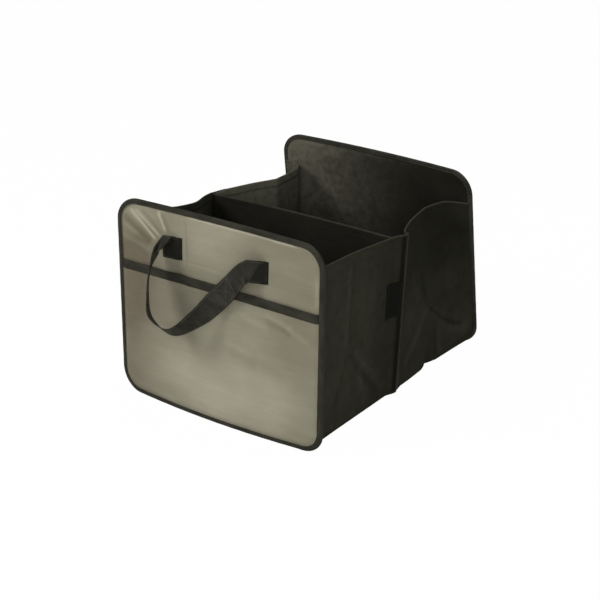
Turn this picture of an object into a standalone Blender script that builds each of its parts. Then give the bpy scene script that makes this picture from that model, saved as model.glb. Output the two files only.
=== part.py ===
"""Collapsible two-bay organizer for a car boot.

Two stiff end panels with rounded corners stand on the boot floor, facing -Y and +Y. Each is a board in
cloth with a bound edge, a pocket and a strap handle. Two U-shaped cloths, with gussets creased like a
paper bag's, join the panels; they meet in a lapped seam at the divider and hold a loose base board each.
Metres, +Z up. The part stands on z = 0 with the middle of its box over the origin.
"""

import bmesh
import bpy
import numpy as np

# End panels
PANEL_WIDTH = 0.380
PANEL_HEIGHT = 0.320
PANEL_CORNER = 0.038
PANEL_SPACING = 0.473
FRONT_FOOT_BULGE = 0.013
FRONT_TOP_BOW = 0.006
REAR_LEAN = 0.051
REAR_BOW = 0.012
REAR_TWIST = 0.008

# Thicknesses of cloth, boards, tape and strap, and the air between pieces that touch
COVER_THICK = 0.0008
LINING_THICK = 0.0006
POCKET_THICK = 0.0006
BAY_THICK = 0.0008
TAPE_THICK = 0.0010
BAND_THICK = 0.0005
STRAP_THICK = 0.0014
PATCH_THICK = 0.0008
BOARD_THICK = 0.0020
DIVIDER_BOARD_THICK = 0.0025
BASE_BOARD_THICK = 0.0030
GAP = 0.0003

# Edge tape and the thinner rim of the panel that it grips
TAPE_WIDTH = 0.006
TAPE_ROUND = 0.0022
RIM_WIDTH = 0.0132
BOARD_INSET = 0.0150
COVER_DIP = 0.0016
LINING_DIP = 0.0009

# Pocket, its band and the handle's slits; drops count down from the panel's top
POCKET_DROP = 0.101
BAND_HEIGHT = 0.013
POCKET_SLACK = 0.0015
SLACK_DROP = 0.0286
SLACK_RUN = 0.0156
SLIT_HIGH_X = 0.0885
SLIT_LOW_X = -0.070
SLIT_DROP = 0.061
SLIT_WIDTH = 0.0085
STRAP_WIDTH = 0.034
STRAP_TAIL = 0.020
STRAP_CROSSING = 0.003
SLIT_PLAY = 0.0024
SLIT_CUT_DEPTH = 0.008
STRAP_STAND = 0.0019

# Bays: insets count from the panel's sides and drops from its top
DIVIDER_Y = 0.2085
FOOT_INSET = 0.0235
REAR_FOOT_INSET = 0.027
FOOT_RADIUS = 0.004
SEAM_TOP_INSET = 0.018
FIN_FOOT_INSET = 0.017
FIN_LENGTH = 0.0225
LAP = 0.020
WALL_INSET = 0.005
FRONT_WALL_DROP = 0.030
SEAM_DROP = 0.050
REAR_WALL_DROP = 0.052
CORNER_RUN = 0.090
DIVIDER_BOW = 0.006

# Gusset creases: their depth, and where the inverted Y has its centre as a share of the wall
FOOT_NOTCH = 0.007
REAR_CREASE = 0.010
CREASE_HEIGHT = 0.40
FRONT_CREASE_PLACE = 0.45
REAR_CREASE_PLACE = 0.48
FIN_FADE = 0.16
BEHIND_FIN = 0.03
NEAR_PANEL_ROWS = np.array([0.2, 0.5])


class Side:
    """The right or left gussets: sense of X, the fin's inset at its top, and how the cloth is pushed in."""

    def __init__(self, sign, fin_top_inset, front_tuck, rear_tuck, rear_tuck_place, rear_tuck_end):
        self.sign = sign
        self.fin_top_half = PANEL_WIDTH / 2 - fin_top_inset
        self.front_tuck = front_tuck
        self.rear_tuck = rear_tuck
        self.rear_tuck_place = rear_tuck_place
        self.rear_tuck_end = rear_tuck_end


RIGHT = Side(1.0, 0.0065, 0.006, 0.035, 0.20, 0.080)
LEFT = Side(-1.0, 0.0225, 0.024, 0.055, 0.70, 0.050)

# Base boards and closure patches
BASE_BOARD_MARGIN = 0.0105
BASE_BOARD_CORNER = 0.010
PATCH_WIDTH = 0.030
PATCH_HEIGHT = 0.057
PATCH_DROP = 0.154
PATCH_EDGE = 0.006

# Values worked out from the sizes above. A depth counts inwards from the cover's outer face.
HALF = PANEL_WIDTH / 2
POCKET_HEIGHT = PANEL_HEIGHT - POCKET_DROP
SLIT_CENTRE_Z = PANEL_HEIGHT - SLIT_DROP
PATCH_CENTRE_Z = PANEL_HEIGHT - PATCH_DROP
FOOT_HALF = HALF - FOOT_INSET
REAR_FOOT_HALF = HALF - REAR_FOOT_INSET
FIN_FOOT_HALF = HALF - FIN_FOOT_INSET
SEAM_TOP_HALF = HALF - SEAM_TOP_INSET
FRONT_WALL_TOP = PANEL_HEIGHT - FRONT_WALL_DROP
SEAM_TOP = PANEL_HEIGHT - SEAM_DROP
REAR_WALL_TOP = PANEL_HEIGHT - REAR_WALL_DROP
COVER_DEPTH = COVER_THICK / 2
TAIL_DEPTH = COVER_THICK + GAP + STRAP_THICK / 2
BOARD_DEPTH = COVER_THICK + 2 * GAP + STRAP_THICK + BOARD_THICK / 2
LINING_DEPTH = BOARD_DEPTH + BOARD_THICK / 2 + 2 * GAP + LINING_THICK / 2
POCKET_DEPTH = -GAP - POCKET_THICK / 2
TAPE_FRONT = POCKET_DEPTH + COVER_DIP - POCKET_THICK / 2 - GAP - TAPE_THICK / 2
TAPE_REAR = LINING_DEPTH - LINING_DIP + LINING_THICK / 2 + GAP + TAPE_THICK / 2
BAY_DEPTH = TAPE_REAR + TAPE_THICK / 2 + GAP + BAY_THICK / 2
RIM_INSET = TAPE_THICK + TAPE_ROUND
LIP_CLEAR = TAPE_WIDTH + 2 * GAP
SEAM_Y = DIVIDER_Y + DIVIDER_BOARD_THICK / 2 + 3 * GAP + 2 * BAY_THICK
FIN_Y = SEAM_Y + FIN_LENGTH
GUSSET_END = DIVIDER_Y - DIVIDER_BOARD_THICK / 2 - BAY_THICK - 4 * GAP
LAP_STEP = BAY_THICK + GAP
FLOOR_Z = BAY_THICK / 2

COLLECTION = "car_organizer"
PARTS = bpy.data.collections.new(COLLECTION)
CUTTERS = bpy.data.collections.new("cutters")


def material(name, colour, roughness):
    """A Principled material without metal, made once for each sub-part."""
    made = bpy.data.materials.new(name)
    made.use_nodes = True
    shader = made.node_tree.nodes["Principled BSDF"]
    shader.inputs["Base Color"].default_value = (*colour, 1.0)
    shader.inputs["Roughness"].default_value = roughness
    shader.inputs["Metallic"].default_value = 0.0
    made.diffuse_color = (*colour, 1.0)
    return made


TAUPE = (0.270, 0.258, 0.200)
BLACK_CLOTH = (0.019, 0.019, 0.014)
LINING_GREY = (0.060, 0.056, 0.040)
TAPE_GREY = (0.042, 0.042, 0.034)
BOARD_GREY = (0.090, 0.085, 0.075)
HOOK_BLACK = (0.008, 0.008, 0.007)


def smooth(t):
    """Smooth step from 0 to 1."""
    t = np.clip(t, 0.0, 1.0)
    return t * t * (3.0 - 2.0 * t)


def route(points, count):
    """Smooth curve through the points, sampled evenly along the chords between them."""
    points = np.asarray(points, dtype=float)
    steps = np.linalg.norm(np.diff(points[:, :3], axis=0), axis=1)
    along = np.concatenate([[0.0], np.cumsum(steps)])
    slopes = np.diff(points, axis=0) / steps[:, None]
    weighted = slopes[:-1] * steps[1:, None] + slopes[1:] * steps[:-1, None]
    inner = weighted / (steps[1:] + steps[:-1])[:, None]
    tangents = np.vstack([slopes[:1], inner, slopes[-1:]])
    samples = np.linspace(0.0, along[-1], count)
    k = np.clip(np.searchsorted(along, samples, side="right") - 1, 0, len(steps) - 1)
    h = steps[k][:, None]
    t = (samples - along[k])[:, None] / h
    return ((2 * t**3 - 3 * t**2 + 1) * points[k] + (t**3 - 2 * t**2 + t) * h * tangents[k]
            + (3 * t**2 - 2 * t**3) * points[k + 1] + (t**3 - t**2) * h * tangents[k + 1])


def add_object(name, mesh, finish):
    made = bpy.data.objects.new(name, mesh)
    PARTS.objects.link(made)
    made.parent = ORIGIN
    mesh.materials.append(finish)
    return made


def sheet(name, points, thickness, finish, ring=False, smooth_angle=35.0):
    """Cloth, board or tape: a grid whose vertices take rows and columns of points, thickened both ways."""
    rows, columns = points.shape[:2]
    grid = bmesh.new()
    bmesh.ops.create_grid(grid, x_segments=columns - 1, y_segments=rows - 1, size=1.0)
    for vertex in grid.verts:
        column = round((vertex.co.x + 1.0) / 2.0 * (columns - 1))
        row = round((vertex.co.y + 1.0) / 2.0 * (rows - 1))
        vertex.co = points[row, column]
    if ring:
        bmesh.ops.remove_doubles(grid, verts=grid.verts, dist=1e-6)
    mesh = bpy.data.meshes.new(name)
    grid.to_mesh(mesh)
    grid.free()
    made = add_object(name, mesh, finish)
    wall = made.modifiers.new("thickness", "SOLIDIFY")
    wall.thickness = thickness
    wall.offset = 0.0
    wall.use_even_offset = True
    mesh.shade_smooth()
    mesh.set_sharp_from_angle(angle=np.radians(smooth_angle))
    return made


# Faces of the two end panels

def front_face(x, z):
    """y of the front cover: pushed forward along the middle of its foot, bowed back along its top."""
    across = 1.0 - (x / HALF) ** 2
    up = z / PANEL_HEIGHT
    return across * (FRONT_TOP_BOW * up - FRONT_FOOT_BULGE * (1.0 - up) ** 2)


def rear_face(x, z):
    """y of the rear cover: the panel leans forward, bows back and is slightly twisted."""
    across = 1.0 - (x / HALF) ** 2
    up = z / PANEL_HEIGHT
    return PANEL_SPACING + up * (REAR_BOW * across - REAR_LEAN - REAR_TWIST * x / HALF)


class End:
    """One end panel: its name, its face, and the sense of Y that is inwards."""

    def __init__(self, name, face, inward):
        self.name = name
        self.face = face
        self.inward = inward

    def at(self, x, z, depth):
        """Points at a depth behind the cover's outer face."""
        x, z, depth = np.broadcast_arrays(x, z, depth)
        return np.stack([x, self.face(x, z) + self.inward * depth, z], axis=-1)


FRONT = End("front", front_face, 1.0)
REAR = End("rear", rear_face, -1.0)


def edge_distance(x, z):
    """Distance inwards from the panel's rounded outline."""
    across = np.abs(x) - (HALF - PANEL_CORNER)
    up = np.abs(z - PANEL_HEIGHT / 2) - (PANEL_HEIGHT / 2 - PANEL_CORNER)
    outside = np.hypot(np.maximum(across, 0.0), np.maximum(up, 0.0))
    return PANEL_CORNER - outside - np.minimum(np.maximum(across, up), 0.0)


def rim(x, z):
    """1 in the thin rim under the edge tape, 0 over the board."""
    return 1.0 - smooth((edge_distance(x, z) - LIP_CLEAR) / (RIM_WIDTH - LIP_CLEAR))


def rounded_rows(inset, middle_heights, top=None):
    """Heights and half widths of the rows of a rounded sheet, closest where it leaves the edge tape."""
    radius = PANEL_CORNER - inset
    low = np.array([inset, LIP_CLEAR, RIM_WIDTH, (RIM_WIDTH + PANEL_CORNER) / 2, PANEL_CORNER])
    low = low[low >= inset]
    width = HALF - PANEL_CORNER + np.sqrt(np.maximum(radius**2 - (PANEL_CORNER - low) ** 2, 0.0))
    if top is not None:
        heights = np.concatenate([low, middle_heights, [top]])
        return heights, np.concatenate([width, np.full(len(middle_heights) + 1, HALF - inset)])
    heights = np.concatenate([low, middle_heights, PANEL_HEIGHT - low[::-1]])
    return heights, np.concatenate([width, np.full(len(middle_heights), HALF - inset), width[::-1]])


# Columns of the panel's sheets across their half width: level ones over the board, closer ones at the rim
INNER_COLUMNS = np.linspace(-0.80, 0.80, 7)
RIM_COLUMNS = np.array([HALF - RIM_WIDTH, HALF - LIP_CLEAR]) / (HALF - RIM_INSET)
SHEET_COLUMNS = np.concatenate([[-1.0], -RIM_COLUMNS[::-1], INNER_COLUMNS, RIM_COLUMNS, [1.0]])
SLACK_START = POCKET_HEIGHT - SLACK_DROP
LOWER_ROW = (PANEL_CORNER + SLACK_START) / 2
UPPER_ROW = (POCKET_HEIGHT + PANEL_HEIGHT - PANEL_CORNER) / 2
POCKET_ROWS = np.array([LOWER_ROW, SLACK_START, POCKET_HEIGHT - BAND_HEIGHT])
COVER_ROWS = np.append(POCKET_ROWS, [POCKET_HEIGHT, UPPER_ROW])
INNER_ROWS = np.array([LOWER_ROW, SLACK_START, UPPER_ROW])


def panel_cover(end):
    """Outer cover, dipping to the rim, with two upright slits for the strap."""
    heights, width = rounded_rows(RIM_INSET, COVER_ROWS)
    x = width[:, None] * SHEET_COLUMNS
    z = heights[:, None]
    depth = COVER_DEPTH + COVER_DIP * rim(x, z)
    finish = material(end.name + "_cover", TAUPE, 0.38)
    cover = sheet(end.name + "_cover", end.at(x, z, depth), COVER_THICK, finish)
    for slit_x in (SLIT_HIGH_X, SLIT_LOW_X):
        cut_slit(cover, end, slit_x)
    return cover


def cut_slit(cover, end, slit_x):
    """Cut one slit, a little taller than the strap is wide."""
    x = end.inward * slit_x
    bpy.ops.mesh.primitive_cube_add(size=1.0)
    cutter = bpy.context.object
    for owner in list(cutter.users_collection):
        owner.objects.unlink(cutter)
    CUTTERS.objects.link(cutter)
    cutter.name = f"{cover.name}_slit_{'a' if slit_x > 0 else 'b'}"
    cutter.parent = ORIGIN
    cutter.location = (x, end.face(x, SLIT_CENTRE_Z), SLIT_CENTRE_Z)
    cutter.scale = (SLIT_WIDTH, SLIT_CUT_DEPTH, STRAP_WIDTH + SLIT_PLAY)
    cutter.hide_render = True
    cutter.display_type = "WIRE"
    cut = cover.modifiers.new("slit", "BOOLEAN")
    cut.operation = "DIFFERENCE"
    cut.solver = "EXACT"
    cut.object = cutter


def panel_lining(end):
    """Plain inner face of the panel."""
    heights, width = rounded_rows(RIM_INSET, INNER_ROWS)
    x = width[:, None] * SHEET_COLUMNS
    z = heights[:, None]
    depth = LINING_DEPTH - LINING_DIP * rim(x, z)
    finish = material(end.name + "_lining", LINING_GREY, 0.85)
    return sheet(end.name + "_lining", end.at(x, z, depth), LINING_THICK, finish)


def panel_board(end):
    """Stiffener between cover and lining."""
    heights, width = rounded_rows(BOARD_INSET, INNER_ROWS)
    inner_columns = INNER_COLUMNS * (HALF - RIM_INSET) / (HALF - BOARD_INSET)
    x = width[:, None] * np.concatenate([[-1.0], inner_columns, [1.0]])
    finish = material(end.name + "_board", BOARD_GREY, 0.6)
    return sheet(end.name + "_board", end.at(x, heights[:, None], BOARD_DEPTH), BOARD_THICK, finish)


def pocket_rise(z):
    """How far the pocket's mouth stands off the cover, fading out below its band."""
    return POCKET_SLACK * smooth((z - SLACK_START) / SLACK_RUN)


def mouth(x, z):
    """1 over the open middle of the pocket, 0 where its sides go under the edge tape."""
    return 1.0 - rim(x, z)


def panel_pocket(end):
    """Flat pocket that covers the panel from its foot to the band."""
    heights, width = rounded_rows(RIM_INSET, POCKET_ROWS, top=POCKET_HEIGHT)
    x = width[:, None] * SHEET_COLUMNS
    z = heights[:, None]
    depth = POCKET_DEPTH + COVER_DIP * rim(x, z) - pocket_rise(z) * mouth(x, z)
    finish = material(end.name + "_pocket", TAUPE, 0.38)
    return sheet(end.name + "_pocket", end.at(x, z, depth), POCKET_THICK, finish)


def pocket_band(end):
    """Tape along the pocket's mouth, turned over its top edge, butting against the edge tape at both ends."""
    clear = POCKET_THICK / 2 + GAP + BAND_THICK / 2
    low = POCKET_HEIGHT - BAND_HEIGHT
    high = POCKET_HEIGHT + GAP + BAND_THICK / 2
    z = np.array([low, (low + POCKET_HEIGHT) / 2, POCKET_HEIGHT, high, high])[:, None]
    side = np.array([-clear, -clear, -clear, -clear / 2, POCKET_THICK / 2])[:, None]
    x = SHEET_COLUMNS[None, 1:-1] * (HALF - RIM_INSET) + 0.0 * z
    on_pocket = np.minimum(z, POCKET_HEIGHT)
    depth = POCKET_DEPTH + COVER_DIP * rim(x, on_pocket) - pocket_rise(on_pocket) * mouth(x, on_pocket)
    finish = material(end.name + "_pocket_band", TAPE_GREY, 0.75)
    return sheet(end.name + "_pocket_band", end.at(x, z, depth + side), BAND_THICK, finish)


def outline_stations():
    """Points on the panel's outline and their inward directions, once round from the foot."""
    turn = np.radians(np.linspace(0.0, 90.0, 6))
    centre_x = HALF - PANEL_CORNER
    centre_z = PANEL_HEIGHT / 2 - PANEL_CORNER
    places = []
    normals = []
    for quarter, (sx, sz) in enumerate(((1, -1), (1, 1), (-1, 1), (-1, -1))):
        angle = turn + np.pi / 2 * (quarter - 1)
        normal = -np.stack([np.cos(angle), np.sin(angle)], axis=1)
        corner = np.array([sx * centre_x, PANEL_HEIGHT / 2 + sz * centre_z])
        places.append(corner - PANEL_CORNER * normal)
        normals.append(normal)
        steps = 3 if quarter in (0, 2) else 8
        run_to = np.array([sx * centre_x, 0.0]) * (-1 if quarter in (1, 3) else 1)
        run_to[1] = PANEL_HEIGHT / 2 + sz * centre_z * (-1 if quarter in (0, 2) else 1)
        finish = run_to - PANEL_CORNER * normal[-1]
        t = np.linspace(0.0, 1.0, steps + 1)[1:-1, None]
        places.append(places[-1][-1] * (1 - t) + finish * t)
        normals.append(np.repeat(normal[-1:], len(t), axis=0))
    places = np.vstack(places)
    normals = np.vstack(normals)
    return np.vstack([places, places[:1]]), np.vstack([normals, normals[:1]])


def edge_tape(end):
    """Binding tape folded over the panel's rim all the way round."""
    places, normals = outline_stations()
    mid = TAPE_THICK / 2
    inset = np.array([TAPE_WIDTH, TAPE_ROUND + mid, mid, mid, TAPE_ROUND + mid, TAPE_WIDTH])
    round_front = TAPE_FRONT + TAPE_ROUND
    round_rear = TAPE_REAR - TAPE_ROUND
    depth = np.array([TAPE_FRONT, TAPE_FRONT, round_front, round_rear, TAPE_REAR, TAPE_REAR])
    spot = places[None] + inset[:, None, None] * normals[None]
    points = end.at(spot[..., 0], spot[..., 1], depth[:, None])
    finish = material(end.name + "_edge_tape", TAPE_GREY, 0.75)
    return sheet(end.name + "_edge_tape", points, TAPE_THICK, finish, ring=True)


# The strap's way from one slit to the other: x, stand-off from the cover, height over the slits' middle,
# then the direction across its width
STRAP_WAY = (
    (0.069, 0.014, 0.003, -0.35, 0.30, 0.85),
    (0.056, 0.018, -0.005, -0.60, 0.35, 0.70),
    (0.035, 0.014, -0.029, -0.70, 0.15, 0.70),
    (0.012, 0.014, -0.055, -0.60, -0.20, 0.77),
    (-0.015, 0.030, -0.087, -0.20, -0.60, 0.78),
    (-0.047, 0.052, -0.108, 0.25, -0.73, 0.63),
    (-0.078, 0.057, -0.092, 0.48, -0.80, 0.36),
    (-0.091, 0.049, -0.058, 0.54, -0.76, 0.36),
    (-0.097, 0.034, -0.020, 0.52, -0.75, 0.42),
    (-0.097, 0.020, -0.001, 0.35, -0.55, 0.75),
    (-0.089, 0.011, 0.003, 0.00, -0.05, 1.00),
)


def strap_points(end, count=31):
    """Rows along the strap, three points across it; its tails lie flat behind the cover."""
    upright = (0.0, 0.0, 1.0)
    first, last = [], []
    for ends, slit_x in ((first, SLIT_HIGH_X), (last, SLIT_LOW_X)):
        for x, out in ((STRAP_CROSSING + STRAP_TAIL, -TAIL_DEPTH), (STRAP_CROSSING, -TAIL_DEPTH),
                       (-STRAP_CROSSING, STRAP_STAND)):
            ends.append((slit_x + x, out, 0.0, *upright))
    free = route([first[-1], *STRAP_WAY, last[-1]], count)
    way = np.vstack([first[:-1], free, last[-2::-1]])
    centre = way[:, :3]
    wide = way[:, 3:] * np.array([1.0, -1.0, 1.0])
    along = np.gradient(centre, axis=0)
    along /= np.linalg.norm(along, axis=1)[:, None]
    wide -= np.sum(wide * along, axis=1)[:, None] * along
    wide /= np.linalg.norm(wide, axis=1)[:, None]
    across = np.array([-0.5, 0.0, 0.5])[None, :, None] * STRAP_WIDTH
    local = centre[:, None, :] + across * wide[:, None, :]
    return end.at(end.inward * local[..., 0], SLIT_CENTRE_Z + local[..., 2], -local[..., 1])


def handle(end):
    """Strap handle: leaves one slit, hangs in a loop and goes back in at the other."""
    finish = material(end.name + "_handle", TAPE_GREY, 0.7)
    return sheet(end.name + "_handle", strap_points(end), STRAP_THICK, finish, smooth_angle=60.0)


# Bay cloths. Their rows and columns meet on the creases, so that a fold runs along edges of the mesh.
CREASE_STEPS = np.array([1.0, 2.0, 3.0]) / 3.0


def crease_places(peak, halved=False):
    """Places along a wall where its diagonal creases cross the rows, from end to end."""
    steps = np.concatenate([[0.0], CREASE_STEPS])
    if halved:
        steps = np.sort(np.concatenate([steps, (steps[1:] + steps[:-1]) / 2]))
    return np.concatenate([peak * steps, 1.0 - (1.0 - peak) * steps[-2::-1]])


def tent(height, place, peak):
    """The gusset's crease: rises evenly from the foot and both ends to 1 at the centre of the inverted Y."""
    ends = np.minimum(place / peak, (1.0 - place) / (1.0 - peak))
    return np.clip(np.minimum(height / CREASE_HEIGHT, ends), 0.0, 1.0)


def front_foot_half(y):
    """Half width of the front bay's foot: it widens to the panel at one end and to the fin at the other."""
    corner = np.clip(1.0 - y / CORNER_RUN, 0.0, 1.0) ** 2
    flare = (FIN_FOOT_HALF - FOOT_HALF) * np.clip((y - SEAM_Y) / FIN_LENGTH, 0.0, 1.0)
    return FOOT_HALF + (HALF - WALL_INSET - FOOT_HALF) * corner + flare


def front_wall_half(y, height, side):
    """Half width of the front bay at a place along it and a share of the wall's height."""
    foot = front_foot_half(y)
    top = np.interp(y, [0.0, SEAM_Y, FIN_Y], [HALF - WALL_INSET, SEAM_TOP_HALF, side.fin_top_half])
    place = np.clip((y - BAY_DEPTH) / (GUSSET_END - BAY_DEPTH), 0.0, 1.0)
    crease = side.front_tuck * tent(height, place, FRONT_CREASE_PLACE)
    return foot + (top - foot) * height - crease


def foot_radius(corner):
    """Radius between floor and wall: sharp along the base board, the panel's own at the panel."""
    return FOOT_RADIUS + (PANEL_CORNER - WALL_INSET - FOOT_RADIUS) * corner


FLOOR_PARTS = np.array([0.0, 0.5, 1.0])
ARC_ANGLES = np.radians([30.0, 60.0, 90.0])
WALL_PARTS = np.append(CREASE_HEIGHT * CREASE_STEPS, [0.55, 0.70, 0.85, 1.0])


def section(foot, radius, lift, wall_half, wall_top):
    """x and z of half a U section: floor, rounded foot and wall, for a column of stations."""
    floor_x = (foot - radius) * FLOOR_PARTS
    arc_x = foot - radius + radius * np.sin(ARC_ANGLES)
    x = np.hstack([floor_x, arc_x, wall_half])
    floor_z = lift + np.zeros_like(floor_x)
    arc_z = lift + radius * (1.0 - np.cos(ARC_ANGLES))
    wall_z = lift + radius + (wall_top - lift - radius) * WALL_PARTS
    return x, np.hstack([floor_z, arc_z, wall_z])


def whole_cloth(left, right):
    """Join two half cloths, given as rows from the middle of the floor up, into one sheet."""
    return np.concatenate([left[:, :0:-1], right], axis=1)


def front_half_cloth(side):
    places = crease_places(FRONT_CREASE_PLACE)
    near_panel = places[1] * NEAR_PANEL_ROWS
    y = BAY_DEPTH + (GUSSET_END - BAY_DEPTH) * np.sort(np.concatenate([places, near_panel]))
    y = np.concatenate([y, [SEAM_Y, FIN_Y]])[:, None]
    corner = np.clip(1.0 - y / CORNER_RUN, 0.0, 1.0) ** 2
    top = np.interp(y, [BAY_DEPTH, SEAM_Y], [FRONT_WALL_TOP, SEAM_TOP])
    wall = front_wall_half(y, WALL_PARTS[None], side)
    x, z = section(front_foot_half(y), foot_radius(corner), FLOOR_Z, wall, top)
    place = (y - BAY_DEPTH) / (FIN_Y - BAY_DEPTH)
    start = front_face(x, z) + BAY_DEPTH
    return np.stack([side.sign * x, start * (1.0 - place) + FIN_Y * place, z], axis=-1)


def bezier(a, b, c, d, t):
    return a * (1 - t) ** 3 + 3 * b * t * (1 - t) ** 2 + 3 * c * t * t * (1 - t) + d * t**3


def rear_half_cloth(side):
    """The rear gusset tucks well inwards and hooks back out to the leaning panel."""
    lap = np.array([0.0, 0.5])
    beyond = crease_places(REAR_CREASE_PLACE, halved=True)
    beyond = np.sort(np.append(beyond, [BEHIND_FIN, (beyond[-2] + 1.0) / 2]))
    place = np.concatenate([np.zeros(len(lap)), beyond])[:, None]
    lapped = np.concatenate([1.0 - lap, np.zeros(len(beyond))])[:, None]
    inside = np.concatenate([np.ones(len(lap) + 1), np.zeros(len(beyond) - 1)])[:, None] * LAP_STEP
    start = FIN_Y - LAP * lapped
    panel_end = PANEL_SPACING - BAY_DEPTH
    corner = np.clip(1.0 - (1.0 - place) * (panel_end - FIN_Y) / CORNER_RUN, 0.0, 1.0) ** 2
    notch = FOOT_NOTCH * np.isclose(place, REAR_CREASE_PLACE)
    flare = (front_foot_half(start) - REAR_FOOT_HALF) * np.clip(1.0 - place / FIN_FADE, 0.0, 1.0)
    foot = REAR_FOOT_HALF + flare - inside - notch + (HALF - WALL_INSET - REAR_FOOT_HALF) * corner
    radius = foot_radius(corner) - inside
    seam_top = np.interp(start, [SEAM_Y, FIN_Y], [SEAM_TOP_HALF, side.fin_top_half]) - LAP_STEP
    top_half = seam_top + (HALF - WALL_INSET - seam_top) * place
    lift = FLOOR_Z + inside
    top = SEAM_TOP + (REAR_WALL_TOP - SEAM_TOP) * place
    height = WALL_PARTS[None]
    crease = REAR_CREASE * tent(height, place, REAR_CREASE_PLACE)
    x, z = section(foot, radius, lift, foot + (top_half - foot) * height - crease, top)
    y = start + (rear_face(side.sign * x, z) - BAY_DEPTH - start) * place

    first = np.array([side.fin_top_half - LAP_STEP, FIN_Y])
    end_y = rear_face(side.sign * (HALF - WALL_INSET), REAR_WALL_TOP) - BAY_DEPTH
    last = np.array([HALF - WALL_INSET, end_y])
    low = np.array([first[0] - side.rear_tuck, first[1] + side.rear_tuck_place * (last[1] - first[1])])
    high = np.array([last[0] - side.rear_tuck_end, last[1]])
    bend = bezier(first, low, high, last, place) - (first + (last - first) * place)
    diagonal = CREASE_HEIGHT * np.minimum(place / REAR_CREASE_PLACE, (1 - place) / (1 - REAR_CREASE_PLACE))
    share = 1.0 - (1.0 - np.clip((height - diagonal) / (1.0 - diagonal), 0.0, 1.0)) ** 2
    walls = slice(len(FLOOR_PARTS) + len(ARC_ANGLES), None)
    x[:, walls] += bend[:, :1] * share + crease * share
    y[:, walls] += bend[:, 1:] * share
    return np.stack([side.sign * x, y, z], axis=-1)


def bay_cloths():
    front = material("front_bay_cloth", BLACK_CLOTH, 0.8)
    rear = material("rear_bay_cloth", BLACK_CLOTH, 0.8)
    sheet("front_bay_cloth", whole_cloth(front_half_cloth(LEFT), front_half_cloth(RIGHT)), BAY_THICK, front)
    sheet("rear_bay_cloth", whole_cloth(rear_half_cloth(LEFT), rear_half_cloth(RIGHT)), BAY_THICK, rear)


# Divider, base boards and patches

def inner_half(z, clear):
    """Half width free between the bay's walls at the divider, at a clearance from the cloth's middle."""
    height = np.clip((z - FLOOR_Z - FOOT_RADIUS) / (SEAM_TOP - FLOOR_Z - FOOT_RADIUS), 0.0, 1.0)
    drop = np.maximum(FLOOR_Z + FOOT_RADIUS - z, 0.0)
    inner = FOOT_RADIUS - clear
    arc = FOOT_HALF - FOOT_RADIUS + np.sqrt(np.maximum(inner**2 - drop**2, 0.0))
    wall = FOOT_HALF + (SEAM_TOP_HALF - FOOT_HALF) * height * DIVIDER_Y / SEAM_Y - clear
    return np.where(drop > 0.0, arc, wall)


def divider_bow(x, z):
    return DIVIDER_Y + DIVIDER_BOW * (1.0 - (x / SEAM_TOP_HALF) ** 2) * z / SEAM_TOP


def divider():
    """Board in a cloth sleeve that is folded over its top and open at its foot."""
    foot = BAY_THICK + GAP
    leg = np.array([foot, 0.5 * FOOT_RADIUS, FOOT_RADIUS, SEAM_TOP / 3, 2 * SEAM_TOP / 3])
    fold = DIVIDER_BOARD_THICK / 2 + 2 * GAP + BAY_THICK / 2
    turn = np.radians([0.0, 45.0, 90.0, 135.0, 180.0])
    z = np.concatenate([leg, SEAM_TOP - fold + fold * np.sin(turn), leg[::-1]])
    y = np.concatenate([np.full(len(leg), -fold), -fold * np.cos(turn), np.full(len(leg), fold)])
    columns = np.linspace(-1.0, 1.0, 9)
    clear = BAY_THICK / 2 + GAP
    x = inner_half(z, clear)[:, None] * columns
    z = z[:, None] * np.ones_like(x)
    points = np.stack([x, divider_bow(x, np.minimum(z, SEAM_TOP)) + y[:, None], z], axis=-1)
    sheet("divider_sleeve", points, BAY_THICK, material("divider_sleeve", BLACK_CLOTH, 0.8))

    board_z = np.append(leg, SEAM_TOP - fold - GAP)
    x = (inner_half(board_z, clear) - 2 * GAP)[:, None] * columns
    z = board_z[:, None] * np.ones_like(x)
    points = np.stack([x, divider_bow(x, z), z], axis=-1)
    sheet("divider_board", points, DIVIDER_BOARD_THICK, material("divider_board", BOARD_GREY, 0.6))


def base_board(name, foot_half, start, end, lift):
    """Loose board on the floor of a bay: a thin block with rounded corners."""
    half = foot_half - BASE_BOARD_MARGIN
    bpy.ops.mesh.primitive_cube_add(size=1.0)
    block = bpy.context.object
    mesh = block.data
    mesh.name = name
    bpy.data.objects.remove(block)
    coords = np.array([corner.co[:] for corner in mesh.vertices])
    coords *= (2 * half, end - start, BASE_BOARD_THICK)
    coords += (0.0, (start + end) / 2, lift + BASE_BOARD_THICK / 2)
    mesh.vertices.foreach_set("co", coords.ravel())
    weights = mesh.attributes.new("bevel_weight_edge", "FLOAT", "EDGE")
    for edge in mesh.edges:
        low, high = (mesh.vertices[v].co for v in edge.vertices)
        weights.data[edge.index].value = float(abs(low.z - high.z) > BASE_BOARD_THICK / 2)
    made = add_object(name, mesh, material(name, BLACK_CLOTH, 0.8))
    bevel = made.modifiers.new("corners", "BEVEL")
    bevel.limit_method = "WEIGHT"
    bevel.width = BASE_BOARD_CORNER
    bevel.segments = 4
    return made


def base_boards():
    front_start = BAY_DEPTH + BASE_BOARD_CORNER / 2
    sleeve = DIVIDER_BOARD_THICK / 2 + 2 * GAP + BAY_THICK
    front_end = DIVIDER_Y - sleeve - 4 * GAP
    base_board("front_base_board", FOOT_HALF, front_start, front_end, BAY_THICK + 2 * GAP)
    rear_end = PANEL_SPACING - BAY_DEPTH - BASE_BOARD_CORNER / 2
    rear_start = DIVIDER_Y + sleeve + 4 * GAP
    base_board("rear_base_board", REAR_FOOT_HALF, rear_start, rear_end, BAY_THICK + LAP_STEP + GAP)


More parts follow.
